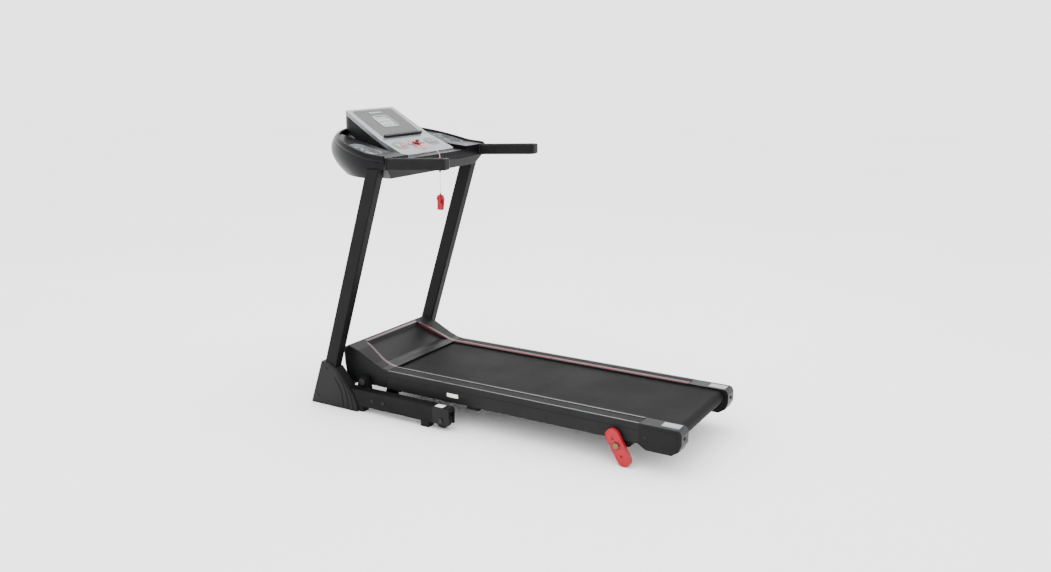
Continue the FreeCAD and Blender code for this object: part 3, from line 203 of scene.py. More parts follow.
# die-cast aluminium: matt and slightly porous
cast_aluminium = grained("cast_aluminium", "#9fa2a5", "#b4b7ba", 0.0008, 0.0002, (0.45, 0.6),
                         patch=0.02, Metallic=1.0)
dress(cast_aluminium, "motor_controller")

# glass-epoxy board with green solder resist: the weave is about 0.5 mm
solder_resist = grained("solder_resist", "#0f4a26", "#17602f", 0.0005, 0.00003, (0.3, 0.4),
                        patch=0.01, Coat_Weight=0.3)
dress(solder_resist, "console_circuit_board")

# medium density fibreboard with a phenolic face: fibres 1 to 2 mm, streaked along the machine
fibreboard = new_finish("phenolic_fibreboard", IOR=1.52)
place = add(fibreboard, "TexCoord").outputs["Object"]
stretch = add(fibreboard, "Mapping", {"Scale": (60, 500, 500)}, [(place, "Vector")])
fibres = add(fibreboard, "TexNoise", {"Scale": 1.0, "Detail": 6.0},
             [(stretch.outputs[0], "Vector")])
tone = add(fibreboard, "ValToRGB", {"stops": [(0.3, "#5a452f"), (0.7, "#7c6244")]},
           [(fibres.outputs["Fac"], "Fac")])
polish = add(fibreboard, "MapRange", {"To Min": 0.4, "To Max": 0.65},
             [(fibres.outputs["Fac"], "Value")])
bump = add(fibreboard, "Bump", {"Strength": 0.3, "Distance": 0.0002},
           [(fibres.outputs["Fac"], "Height")])
wired(fibreboard, tone, polish, bump)
dress(fibreboard, "running_board")

# --- rubber pieces -------------------------------------------------------------------------------
# Floor pads and board cushions are moulded solid rubber; the transport wheels are hard rubber on a
# bushed hub; the drive belt is a ribbed rubber belt.

# vulcanised rubber: no shine, chalky in patches, skin pores about 0.8 mm
moulded_rubber = grained("vulcanised_rubber", "#0c0c0c", "#151515", 0.0008, 0.00018, (0.72, 0.88),
                         patch=0.03, IOR=1.52, Specular_IOR_Level=0.12)
dress(moulded_rubber, "floor_pads", "board_cushions", "drive_belt", "wheel_left", "wheel_right")

# --- black mouldings -----------------------------------------------------------------------------
# Injection moulded covers: foot covers, wheel forks, end caps, rails, hood, belly pan, bar caps.
# Spark-eroded tools leave a fine even grain that takes the shine off.

# ABS with a spark texture: pits about 0.9 mm across, drawn to show
grained_abs = grained("grained_black_abs", "#0b0b0c", "#131314", 0.0009, 0.00016, (0.40, 0.52),
                      IOR=1.53, Specular_IOR_Level=0.14)
# the hood and the end caps have a smoother satin face
satin_abs = grained("satin_charcoal_abs", "#0c0c0d", "#121213", 0.0012, 0.0001, (0.34, 0.44),
                    IOR=1.53, Specular_IOR_Level=0.1)
dress(grained_abs, "foot_covers", "wheel_forks", "belly_pan", "grip_caps", "foot_rails",
      "power_inlet", "tablet_ledge", "display_back_cover")
dress(satin_abs, "motor_hood", "end_caps")

# --- foot cover ribs -----------------------------------------------------------------------------
# Three raised ribs sweep down the rear slope of each foot cover, moulded in one with it.
# They are drawn as rounded bars, half sunk into the cover's side.

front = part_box("foot_covers")[0][0]
MM = 0.001


def spot(x, y, z):
    """A place in the part's frame, from millimetres behind the front tip, to the right and up."""
    return Vector((front + x * MM, y * MM, z * MM))


def only(piece):
    """Selects one object and makes it active."""
    bpy.ops.object.select_all(action="DESELECT")
    piece.select_set(True)
    bpy.context.view_layer.objects.active = piece
    return piece


def settled(name, finish):
    """Names the active piece, gives it a finish and puts its place into its mesh."""
    piece = only(bpy.context.object)
    bpy.ops.object.transform_apply(location=True, rotation=True, scale=True)
    piece.name = name
    piece.data.name = name
    piece.data.materials.clear()
    piece.data.materials.append(finish)
    return piece


def modified(piece, kind, **settings):
    """Adds a modifier and applies it."""
    only(piece)
    modifier = piece.modifiers.new(kind.lower(), kind)
    for setting, amount in settings.items():
        setattr(modifier, setting, amount)
    bpy.ops.object.modifier_apply(modifier=modifier.name)
    return piece


def rounded(piece, width, segments=3, angle=40):
    """Bevels every edge sharper than the angle and shades the piece smooth."""
    modified(piece, "BEVEL", width=width * MM, segments=segments, limit_method="ANGLE",
             angle_limit=math.radians(angle), harden_normals=False)
    bpy.ops.object.shade_smooth_by_angle(angle=math.radians(38))
    return piece


def tidied(piece):
    """Merges doubled points and turns every face outwards."""
    only(piece)
    bpy.ops.object.mode_set(mode="EDIT")
    bpy.ops.mesh.select_all(action="SELECT")
    bpy.ops.mesh.remove_doubles(threshold=0.00001)
    bpy.ops.mesh.normals_make_consistent(inside=False)
    bpy.ops.object.mode_set(mode="OBJECT")
    return piece


def block(name, finish, low, high):
    """A block between two corners given in millimetres."""
    low, high = spot(*low), spot(*high)
    bpy.ops.object.select_all(action="DESELECT")
    bpy.ops.mesh.primitive_cube_add(size=1, location=(low + high) / 2, scale=high - low)
    return settled(name, finish)


def slab(name, finish, outline, start, end):
    """A flat outline of places, pushed from start to end along one direction: a plate."""
    bpy.ops.object.select_all(action="DESELECT")
    bpy.ops.mesh.primitive_circle_add(vertices=len(outline), radius=1, fill_type="NGON")
    piece = bpy.context.object
    for vertex, place in zip(piece.data.vertices, outline):
        vertex.co = place + start
    piece.location = (0, 0, 0)
    bpy.ops.object.mode_set(mode="EDIT")
    bpy.ops.mesh.select_all(action="SELECT")
    bpy.ops.mesh.extrude_region_move(TRANSFORM_OT_translate={"value": end - start})
    bpy.ops.object.mode_set(mode="OBJECT")
    return tidied(settled(name, finish))


def side_slab(name, finish, outline, y0, y1):
    """A plate from a side outline of (x, z) millimetres, between two distances to the right."""
    return slab(name, finish, [spot(x, 0, z) for x, z in outline], Vector((0, y0 * MM, 0)),
                Vector((0, y1 * MM, 0)))


def loft(name, finish, rings, capped=True):
    """A skin through rings of places, each with the same number of points."""
    count = len(rings[0])
    faces = []
    for row in range(len(rings) - 1):
        for index in range(count):
            after = (index + 1) % count
            faces.append((row * count + index, row * count + after,
                          (row + 1) * count + after, (row + 1) * count + index))
    if capped:
        faces.append(tuple(range(count)))
        faces.append(tuple(range((len(rings) - 1) * count, len(rings) * count)))
    mesh = bpy.data.meshes.new(name)
    mesh.from_pydata([place for ring in rings for place in ring], [], faces)
    piece = bpy.data.objects.new(name, mesh)
    bpy.context.scene.collection.objects.link(piece)
    only(piece)
    return tidied(settled(name, finish))


def bar(name, finish, route, wide, high, round_off):
    """A rounded bar of a given width and height that follows a route of places."""
    up = Vector((0, 1, 0))
    rings = []
    for index, here in enumerate(route):
        along = (route[min(index + 1, len(route) - 1)] - route[max(index - 1, 0)]).normalized()
        side = along.cross(up).normalized() * wide * MM / 2
        lift = up * high * MM / 2
        rings.append([here + side + lift, here - side + lift, here - side - lift,
                      here + side - lift])
    return rounded(loft(name, finish, rings), round_off, 2)


def fitted(piece, body):
    """Says which body a piece moves with."""
    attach(piece, body)
    return piece


SIDES = (("left", -1), ("right", 1))


def bend_through(points, steps=10):
    """A smooth route through (x, z) points, as a Catmull-Rom curve."""
    padded_points = [points[0]] + list(points) + [points[-1]]
    route = []
    for before, start, end, after in zip(padded_points, padded_points[1:], padded_points[2:],
                                         padded_points[3:]):
        for step in range(steps):
            share = step / steps
            route.append(tuple(
                0.5 * (2 * s + (e - b) * share + (2 * b - 5 * s + 4 * e - a) * share ** 2
                       + (3 * s - b - 3 * e + a) * share ** 3)
                for b, s, e, a in zip(before, start, end, after)))
    return route + [points[-1]]


for side_name, side in SIDES:
    for number, curve in enumerate((((126, 118), (150, 78), (161, 38), (163, 3)),
                                    ((140, 132), (168, 92), (183, 48), (187, 3)),
                                    ((164, 113), (190, 79), (205, 42), (210, 3)))):
        route = [spot(x, side * 330.2, z) for x, z in bend_through(curve)]
        rib = bar(f"foot_cover_rib_{side_name}_{number + 1}", satin_abs, route, 5.5, 3.4, 1.4)
        fitted(rib, "base")

# --- upright clamp screws and rail bolts ---------------------------------------------------------
# Socket-head screws hold each foot cover and each upright to the rail.
# Black oxide steel, with a round head and a hexagon socket.

# black oxide on steel: dark, dull metal
black_oxide = grained("black_oxide_steel", "#2a2a2b", "#3b3b3d", 0.0006, 0.00003, (0.42, 0.55),
                      patch=0.003, Metallic=1.0)
dress(black_oxide, "fold_pivot_bolts", "wheel_axles")


def disc(name, finish, middle, radius, depth, turn, vertices=32):
    """A round disc about a place, in millimetres, turned by three angles."""
    bpy.ops.object.select_all(action="DESELECT")
    bpy.ops.mesh.primitive_cylinder_add(vertices=vertices, radius=radius * MM, depth=depth * MM,
                                        location=middle, rotation=turn)
    return settled(name, finish)


def holed(piece, cutter):
    """Cuts a piece by a cutter and removes the cutter."""
    modified(piece, "BOOLEAN", operation="DIFFERENCE", object=cutter, solver="EXACT")
    bpy.data.objects.remove(cutter)
    return piece


def screw(name, finish, middle, outward, radius, high):
    """A round-headed screw with a hexagon socket, its head standing on a surface."""
    turn = outward.to_track_quat("Z", "Y").to_euler()
    head = disc(name, finish, middle + outward * high * MM / 2, radius, high, turn, 36)
    socket = disc("cutter", finish, middle + outward * high * MM, radius * 0.5, high * 1.2, turn, 6)
    return holed(rounded(head, high * 0.35, 3, 60), socket)


for side_name, side in SIDES:
    outward = Vector((0, side, 0))
    for number, (x, z) in enumerate(((86, 148), (36, 30))):
        fitted(screw(f"foot_cover_screw_{side_name}_{number + 1}", black_oxide,
                     spot(x, side * 330, z), outward, 5, 2.6), "base")
    for number, x in enumerate((300, 352)):
        fitted(screw(f"rail_screw_{side_name}_{number + 1}", black_oxide,
                     spot(x, side * 322, 54), outward, 5.5, 3), "base")

# --- wheel fork highlights and rail sticker ------------------------------------------------------
# A plain white patch on top of each wheel fork is a painted highlight, drawn in white vinyl.
# A plain white sticker on the left foot rail's side is self-adhesive vinyl with no lettering.

# white vinyl: semi-gloss film, slightly yellowed in patches; on the fork tops it is painted
# highlight
white_vinyl_and_painted_highlight = grained("white_vinyl_and_painted_highlight", "#dedcd4", "#efede6", 0.004, 0.00003, (0.3, 0.42), patch=0.012,
                      IOR=1.48)
# painted highlight: a white patch on top of each wheel fork
for side_name, side in SIDES:
    label = block(f"fork_painted_highlight_{side_name}", white_vinyl_and_painted_highlight, (584, side * 302 - 13, 85.8),
                  (618, side * 302 + 13, 86.5))
    fitted(rounded(label, 0.25, 2), "base")
rail_label = block("rail_side_label", white_vinyl_and_painted_highlight, (598, -256.1, 107), (646, -255.2, 121))
fitted(rounded(rail_label, 0.3, 2), "deck")

# --- handlebar sleeves ---------------------------------------------------------------------------
# A closed-cell foam sleeve is pushed over each handlebar, with a moulded cap at its end.
# Its section is a rounded box, drawn in at both ends.

# closed-cell foam: matt, velvety skin with pores about 1 mm across
closed_foam = grained("closed_cell_foam", "#0d0d0d", "#161616", 0.001, 0.0004, (0.62, 0.76),
                      patch=0.04, IOR=1.45, Specular_IOR_Level=0.12)


def rounded_ring(x, middle_y, middle_z, half_wide, half_high, corner):
    """A rounded rectangle across the machine at one place along it."""
    ring = []
    for turn_y, turn_z, start in ((1, 1, 0), (-1, 1, 90), (-1, -1, 180), (1, -1, 270)):
        for step in range(5):
            angle = math.radians(start + 22.5 * step)
            ring.append(spot(x, middle_y + turn_y * (half_wide - corner) + corner * math.cos(angle),
                             middle_z + turn_z * (half_high - corner) + corner * math.sin(angle)))
    return ring


def bar_height(x):
    """Height of the handlebar's middle at a place along the machine."""
    return 946 + (x - 384) * 0.0564


for side_name, side in SIDES:
    rings = []
    for x, shrink in ((402, 3.2), (402.6, 1.4), (404.5, 0.3), (408, 0), (450, 0), (520, 0.1),
                      (590, 0), (632, 0), (638, 0.3), (640.8, 1.4), (641.8, 3.2)):
        rings.append(rounded_ring(x, side * 300, bar_height(x), 19 - shrink, 20.5 - shrink,
                                  8.5 - shrink))
    sleeve = loft(f"grip_{side_name}", closed_foam, rings)
    bpy.ops.object.shade_smooth_by_angle(angle=math.radians(38))
    fitted(sleeve, "base")
    if side < 0:
        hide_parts("grips")
    rings = [rounded_ring(x, side * 300, bar_height(x), 18.6 - shrink, 20.1 - shrink, 8.2 - shrink)
             for x, shrink in ((641.6, 0.8), (642.2, 0), (645.5, 0), (648, 1.2), (649.4, 3.4),
                               (649.9, 6.5))]
    cap = loft(f"grip_cap_{side_name}", satin_abs, rings)
    bpy.ops.object.shade_smooth_by_angle(angle=math.radians(50))
    fitted(cap, "base")
    if side < 0:
        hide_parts("grip_caps")
    collar = loft(f"bar_collar_{side_name}", grained_abs,
                  [rounded_ring(x, side * 300, bar_height(x), 21 - shrink, 22.5 - shrink, 8)
                   for x, shrink in ((396, 0), (401, 0), (402.4, 1.2))])
    bpy.ops.object.shade_smooth_by_angle(angle=math.radians(38))
    fitted(collar, "base")

# --- dashboard bowl ------------------------------------------------------------------------------
# The lower shell of the dashboard: a deep half-round bowl, moulded in smooth blue-black ABS.
# It is screwed to the lid along a seam, and closes round the tops of the uprights.

# smooth satin ABS with a cold tint: polished tool, faint flow marks about 60 mm across
smooth_abs = grained("smooth_blue_black_abs", "#070709", "#0b0b0e", 0.012, 0.00006, (0.27, 0.36),
                     patch=0.06, IOR=1.53, Specular_IOR_Level=0.07)
# in millimetres: the bowl's middle and rear along the machine, its reach forward, its half width,
# the height of its floor, and how far above the floor it is widest
DASH_MID_X = 330
DASH_REAR = 399
DASH_REACH = 356
DASH_HALF = 325
DASH_FLOOR = 890
WIDEST = 88
# where the lower edge starts to rise to the heel, over what run, and how far
HEEL_START = 298
HEEL_RUN = 54
HEEL_RISE = 36.5
# the lid falls towards the back, steeply in front of its bend and gently behind it
LID_BEND = 320
BEND_HEIGHT = 975
LID_FALL = 0.239
LID_REAR_FALL = 0.076


def lid_height(x):
    """Height of the lid's raised sides at a place along the machine."""
    return BEND_HEIGHT + (LID_BEND - x) * (LID_FALL if x < LID_BEND else LID_REAR_FALL)


def bowl_spot(angle, rise, inset=0.0):
    """A place on the bowl's outside: angle runs from the left rear corner round the front."""
    if rise < WIDEST:
        share = (1 - rise / WIDEST) ** 2
        reach, half = 1 - 0.21 * share, 1 - 0.06 * share
    else:
        share = ((rise - WIDEST) / 62) ** 2
        reach, half = 1 - 0.13 * share, 1 - 0.015 * share
    x = DASH_MID_X - math.sin(angle) * (DASH_REACH * reach - inset)
    y = -math.cos(angle) * (DASH_HALF * half - inset)
    return x, y


def seam_rise(angle, below):
    """How far above the bowl's floor a line parallel to the lid lies, at one angle."""
    rise = WIDEST
    for _ in range(8):
        rise = lid_height(bowl_spot(angle, rise)[0]) - below - DASH_FLOOR
    return rise


ARC_STEPS = 64
LEVELS = 18
rings = []
for level in range(LEVELS + 1):
    ring = []
    for step in range(ARC_STEPS + 1):
        angle = math.pi * step / ARC_STEPS
        rise = seam_rise(angle, 18) * (level / LEVELS)
        x, y = bowl_spot(angle, rise)
        ring.append(spot(x, y, DASH_FLOOR + rise))
    rear_rise = (lid_height(DASH_REAR) - 18 - DASH_FLOOR) * (level / LEVELS)
    last_y = bowl_spot(math.pi, rear_rise)[1]
    for x, y in ((365, 1), (DASH_REAR - 1, 1), (DASH_REAR - 1, 0.5), (DASH_REAR - 1, 0),
                 (DASH_REAR - 1, -0.5), (DASH_REAR - 1, -1), (365, -1)):
        ring.append(spot(x, last_y * y, DASH_FLOOR + rear_rise))
    rings.append(ring)
# the bowl's lower edge rises to a heel at the back, but the flat floor inside it stays level
for ring in rings:
    for place in ring:
        x = (place.x - front) / MM
        heel = DASH_FLOOR + HEEL_RISE * min(max((x - HEEL_START) / HEEL_RUN, 0), 1)
        place.z = max(place.z, heel * MM)
inner_floor = [place + (spot(DASH_MID_X - 60, 0, DASH_FLOOR) - place) * 0.12 for place in rings[0]]
floor_rings = [[Vector((place.x, place.y, DASH_FLOOR * MM)) for place in inner_floor]]
bowl = loft("dashboard_bowl_shell", smooth_abs, floor_rings + rings, capped=False)
only(bowl)
bpy.ops.object.mode_set(mode="EDIT")
bpy.ops.mesh.select_all(action="DESELECT")
bpy.ops.object.mode_set(mode="OBJECT")
for index in range(len(inner_floor)):
    bowl.data.vertices[index].select = True
bpy.ops.object.mode_set(mode="EDIT")
bpy.ops.mesh.edge_face_add()
bpy.ops.mesh.select_all(action="SELECT")
bpy.ops.mesh.normals_make_consistent(inside=False)
bpy.ops.object.mode_set(mode="OBJECT")
modified(bowl, "SOLIDIFY", thickness=2.8 * MM, offset=-1)
bpy.ops.object.shade_smooth_by_angle(angle=math.radians(45))
fitted(bowl, "base")
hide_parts("dashboard_bowl")

# --- dashboard rim -------------------------------------------------------------------------------
# A rounded moulded rim follows the lid's edge from one handlebar round the front to the other.
# It hides the seam between lid and bowl, and stands a little proud of the lid.

rings = []
for step in range(-3, ARC_STEPS + 4):
    angle = math.pi * min(max(step, 0), ARC_STEPS) / ARC_STEPS
    extra = 21 * max(0, -step, step - ARC_STEPS)
    ring = []
    for inset, below in ((1.5, 17.2), (-0.4, 15.5), (-0.8, 6), (0.3, -2.5), (3.4, -6.2),
                         (8.2, -6.6), (11.8, -4.2), (13.2, 0.6), (9, 4), (6, 16)):
        x, y = bowl_spot(angle, seam_rise(angle, below), inset)
        ring.append(spot(x + extra, y, lid_height(x + extra) - below))
    rings.append(ring)
rim = loft("dashboard_rim", smooth_abs, rings)
bpy.ops.object.shade_smooth_by_angle(angle=math.radians(50))
fitted(rim, "base")

# the lid itself: the same blue-black ABS, under the rim and round the trays
dress(smooth_abs, "dashboard_lid")

# --- tray liners ---------------------------------------------------------------------------------
# A shallow oblong cup in each side of the lid for a phone or keys: silver painted ABS.
# Each has a ring for a bottle and dark rubber dots that stop things sliding.

# silver two-pack paint over ABS: metal flake about 0.7 mm, drawn to show, under a clear coat
silver_paint = grained("silver_flake_paint", "#6f7276", "#85888c", 0.0007, 0.00003, (0.30, 0.42),
                       patch=0.03, Metallic=0.45, Coat_Weight=0.35, Coat_Roughness=0.12)
dress(silver_paint, "tray_liners")


def hoop(name, finish, middle, radius, thick, turn, sides):
    """A round ring about a place, in millimetres, turned by three angles."""
    bpy.ops.object.select_all(action="DESELECT")
    bpy.ops.mesh.primitive_torus_add(location=middle, rotation=turn, major_radius=radius * MM,
                                     minor_radius=thick * MM, major_segments=64,
                                     minor_segments=sides)
    ring = settled(name, finish)
    bpy.ops.object.shade_smooth()
    return ring


TRAY_MID = 262
tray_floor = lid_height(TRAY_MID) - 10.2
tray_tilt = Vector((LID_FALL, 0, 1)).to_track_quat("Z", "Y").to_euler()
for side_name, side in SIDES:
    for number, (x, y, radius) in enumerate(((228, 258, 11), (252, 250, 6), (276, 264, 8),
                                             (300, 254, 5))):
        middle = spot(x, side * y, tray_floor + (TRAY_MID - x) * LID_FALL)
        dot = rounded(disc(f"tray_dot_{side_name}_{number + 1}", moulded_rubber, middle, radius,
                           1.6, tray_tilt, 40), 0.5, 3, 50)
        fitted(dot, "base")
    ring = hoop(f"tray_ring_{side_name}", satin_abs,
                spot(276, side * 258, tray_floor - 14 * LID_FALL), 24, 0.9, tray_tilt, 10)
    fitted(ring, "base")

# --- display and control panel -------------------------------------------------------------------
# A silver painted shell holds a printed dark grey display face; the panel under it has six keys.
# The shell's upper 11 mm is silver, and below that its sides are painted near-black as painted
# shade.


class Slope:
    """A sloping face of the console: a start, the way down it and the way out of it."""

    def __init__(self, start, end):
        self.start = spot(start[0], 0, start[1])
        self.down = (spot(end[0], 0, end[1]) - self.start).normalized()
        self.out = Vector((-self.down.z, 0, self.down.x))

    def at(self, down, y, out):
        return self.start + self.down * down * MM + Vector((0, y * MM, 0)) + self.out * out * MM

    def plate(self, name, finish, outline, low, high):
        """A plate on the slope from an outline of (down, y) millimetres."""
        return slab(name, finish, [self.at(down, y, 0) for down, y in outline],
                    self.out * low * MM, self.out * high * MM)


screen = Slope((77, 1113), (244, 1013))
panel = Slope((244, 1013), (362, 962))

# the same silver paint, with painted shade: near-black from 11 mm below the top faces
silver_and_painted_shade = grained("silver_paint_with_painted_shade", "#606367", "#75787c", 0.0007, 0.00003, (0.30, 0.42),
                        patch=0.05, Metallic=0.4, Coat_Weight=0.35, Coat_Roughness=0.12)
shader = silver_and_painted_shade.node_tree.nodes["Principled BSDF"]
place = add(silver_and_painted_shade, "TexCoord").outputs["Object"]
depths = []
for face in (screen, panel):
    along = add(silver_and_painted_shade, "VectorMath", {"operation": "DOT_PRODUCT"}, [(place, 0)])
    along.inputs[1].default_value = face.out
    depths.append(add(silver_and_painted_shade, "Math", {"operation": "SUBTRACT", 1: face.out.dot(face.start)},
                      [(along.outputs["Value"], 0)]).outputs[0])
above = add(silver_and_painted_shade, "Math", {"operation": "MAXIMUM"}, [(depths[0], 0), (depths[1], 1)])
# painted shade: this mask turns all that lies deeper than 11 mm below the top faces near-black
painted_shade_mask = add(silver_and_painted_shade, "MapRange", {"From Min": -0.0115, "From Max": -0.0105},
           [(above.outputs[0], "Value")])
silver_shade = shader.inputs["Base Color"].links[0].from_socket
# the near-black of the painted shade on the shell's sides
mixed = add(silver_and_painted_shade, "MixRGB", {"Color1": linear("#0c0c0e")},
            [(painted_shade_mask.outputs["Result"], "Fac"), (silver_shade, "Color2")])
silver_and_painted_shade.node_tree.links.new(mixed.outputs["Color"], shader.inputs["Base Color"])
dress(silver_and_painted_shade, "console_shell")

# screen-printed polycarbonate: dark grey ink under a fine matt film
printed_film = grained("printed_polycarbonate", "#161618", "#1c1c1f", 0.001, 0.00003, (0.30, 0.38),
                       patch=0.12, IOR=1.58, Specular_IOR_Level=0.3)
dress(printed_film, "display_face")

# display window: clear acrylic over a grey reflective panel, its rows about 9 mm apart
window_glass = new_finish("display_window_acrylic", IOR=1.49, Coat_Weight=0.8, Coat_Roughness=0.04)
place = add(window_glass, "TexCoord").outputs["Object"]
rows = add(window_glass, "TexWave", {"Scale": 34.0, "Distortion": 0.4, "bands_direction": "X"},
           [(place, "Vector")])
tone = add(window_glass, "ValToRGB", {"stops": [(0.0, "#686d69"), (1.0, "#838883")]},
           [(rows.outputs["Fac"], "Fac")])
polish = add(window_glass, "MapRange", {"To Min": 0.12, "To Max": 0.2},
             [(rows.outputs["Fac"], "Value")])
wired(window_glass, tone, polish)
dress(window_glass, "lcd_window")


def oval(half_long, half_wide, middle, steps, power):
    """Outline points on a slope: an oval at power 2, and a squarer box at higher powers."""
    points = []
    for step in range(steps):
        angle = 2 * math.pi * step / steps
        down = math.copysign(abs(math.cos(angle)) ** (2 / power), math.cos(angle))
        y = math.copysign(abs(math.sin(angle)) ** (2 / power), math.sin(angle))
        points.append((middle[0] + half_long * down, middle[1] + half_wide * y))
    return points


# light frame round the window, and a plain pale band over it
WINDOW_DOWN = 89
window_frame = screen.plate("window_frame", silver_paint,
                            oval(38.5, 48.5, (WINDOW_DOWN, 0), 64, 7), 0.5, 1.6)
opening = screen.plate("cutter", silver_paint, oval(33.5, 43.5, (WINDOW_DOWN, 0), 64, 9), -2, 5)
fitted(rounded(holed(window_frame, opening), 0.3, 2), "base")
pale_ink = grained("pale_grey_ink", "#6e6f72", "#7c7d80", 0.001, 0.00002, (0.4, 0.5), patch=0.02)
band = screen.plate("display_label", pale_ink, oval(5, 37, (30, 0), 48, 4), 0.5, 1.0)
fitted(rounded(band, 0.2, 2), "base")

# dark grey digits and bars under the window: plain blocks that spell nothing
digit_ink = grained("lcd_segment_ink", "#54595a", "#666b6b", 0.001, 0.00001, (0.3, 0.4), patch=0.01)
for row, down in enumerate((WINDOW_DOWN - 21, WINDOW_DOWN, WINDOW_DOWN + 21)):
    for column, y in enumerate((-28, -9, 10, 29)):
        wide = 6 if (row + column) % 2 else 4.5
        digit = screen.plate(f"display_segment_{row + 1}_{column + 1}", digit_ink,
                             oval(5.5, wide, (down, y), 20, 8), -0.6, -0.35)
        fitted(digit, "base")

# --- panel print ---------------------------------------------------------------------------------
# Large greenish grey ovals are printed round the outer keys, and a pink field with a red edge
# round the safety key. Each is a thin film stuck to the shell.

# printed polyester films, soft semi-gloss: greenish grey, pink, red and dark grey
green_grey_film = grained("green_grey_film", "#434d47", "#56605a", 0.001, 0.00002, (0.35, 0.45),
                          patch=0.03)
pink_film = grained("pink_film", "#a4555c", "#b76a70", 0.001, 0.00002, (0.35, 0.45), patch=0.025)
red_film = grained("red_film", "#7d1f2a", "#8f2633", 0.001, 0.00002, (0.35, 0.45), patch=0.02)
dark_line = grained("dark_grey_film", "#3a403e", "#4a504e", 0.001, 0.00002, (0.35, 0.45),
                    patch=0.03)
KEYS_DOWN = 58
for side_name, side in SIDES:
    for label, grow, finish, low in (("edge", 2, dark_line, 0.05),
                                     ("field", 0, green_grey_film, 0.25)):
        film = panel.plate(f"key_{label}_{side_name}", finish,
                           oval(25 + grow, 36 + grow, (KEYS_DOWN, side * 97), 64, 2.6), low,
                           low + 0.3)
        for key_y in (84, 110):
            holed(film, panel.plate("cutter", finish,
                                    oval(13.8, 12.8, (KEYS_DOWN, side * key_y), 32, 3.2), -2, 4))
        fitted(film, "base")
for label, half_long, half_wide, finish, low in (("edge", 36, 27, red_film, 0.05),
                                                 ("field", 33.5, 24.5, pink_film, 0.25)):
    film = panel.plate(f"safety_{label}", finish,
                       oval(half_long, half_wide, (66, 0), 56, 4.5), low, low + 0.3)
    holed(film, panel.plate("cutter", finish, oval(8.4, 15.4, (59, 0), 32, 6), -2, 4))
    fitted(film, "base")

# --- keys ----------------------------------------------------------------------------------------
# Keycaps of soft grey ABS, crowned so that a finger finds their middle, each with a plain mark.
# Start is faintly green, stop faintly red; the small round ones are mode and program.

key_finishes = {
    "start": grained("green_grey_keycap", "#5f7a68", "#6f8a77", 0.0008, 0.00004, (0.4, 0.5),
                     patch=0.01),
    "stop": grained("red_grey_keycap", "#8a3a3e", "#994549", 0.0008, 0.00004, (0.4, 0.5),
                    patch=0.01),
    "plain": grained("grey_keycap", "#4d5552", "#5b6461", 0.0008, 0.00004, (0.4, 0.5), patch=0.01)}
for key_name, y, half_long, half_wide, power in (
        ("start", -110, 13, 12, 3.2), ("stop", -84, 13, 12, 3.2), ("slower", 84, 13, 12, 3.2),
        ("faster", 110, 13, 12, 3.2), ("mode", -40, 9, 9, 2), ("program", 40, 9, 9, 2)):
    middle = (KEYS_DOWN, y)
    button = f"button_{key_name}"
    rings = []
    for shrink, out in ((0, -4.5), (0, 0.9), (0.5, 1.6), (1.6, 2.0), (5, 2.35), (8, 2.45)):
        outline = oval(max(half_long - shrink, 1.2), max(half_wide - shrink, 1.2), middle, 40,
                       power)
        rings.append([panel.at(down, across, out) for down, across in outline])
    cap = loft(f"keycap_{key_name}", key_finishes.get(key_name, key_finishes["plain"]), rings)
    bpy.ops.object.shade_smooth_by_angle(angle=math.radians(40))
    fitted(cap, button)
    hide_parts(button)
    fitted(panel.plate(f"key_mark_{key_name}", white_vinyl_and_painted_highlight, oval(4.2, 0.8, middle, 16, 4), 2.3,
                       2.6), button)
    if key_name == "faster":
        fitted(panel.plate("key_mark_faster_upright", white_vinyl_and_painted_highlight, oval(0.8, 4.2, middle, 16, 4),
                           2.3, 2.6), button)

# --- safety key, lanyard and clip ----------------------------------------------------------------
# The key is dark red ABS with a magnet in its blade, and carries a braided pink cord.
# The cord ends in a small grey ferrule and a sprung two-jaw clip of bright red nylon.

# dark red ABS, glossier than the clip
dark_red_abs = grained("dark_red_abs", "#5a0d16", "#6d1420", 0.0012, 0.00004, (0.25, 0.34),
                       patch=0.01, Coat_Weight=0.2)
dress(dark_red_abs, "safety_key")
# bright red nylon: a satin moulding
red_nylon = grained("bright_red_nylon", "#8c0418", "#9a061d", 0.001, 0.00006, (0.34, 0.46),
                    patch=0.02, IOR=1.53, Specular_IOR_Level=0.25)
dress(red_nylon, "lanyard_clip", "clip_lever", "power_switch")

# braided polyester cord: slanting ridges about 2 mm apart along the cord
braid = new_finish("braided_polyester", IOR=1.5, Sheen_Weight=0.3, Sheen_Roughness=0.5)
place = add(braid, "TexCoord").outputs["Object"]
weave = add(braid, "TexWave", {"Scale": 320.0, "Distortion": 1.5, "bands_direction": "DIAGONAL"},
            [(place, "Vector")])
tone = add(braid, "ValToRGB", {"stops": [(0.0, "#a87f7f"), (1.0, "#d3b0ae")]},
           [(weave.outputs["Fac"], "Fac")])
polish = add(braid, "MapRange", {"To Min": 0.6, "To Max": 0.8}, [(weave.outputs["Fac"], "Value")])
bump = add(braid, "Bump", {"Strength": 0.5, "Distance": 0.0002}, [(weave.outputs["Fac"], "Height")])
wired(braid, tone, polish, bump)

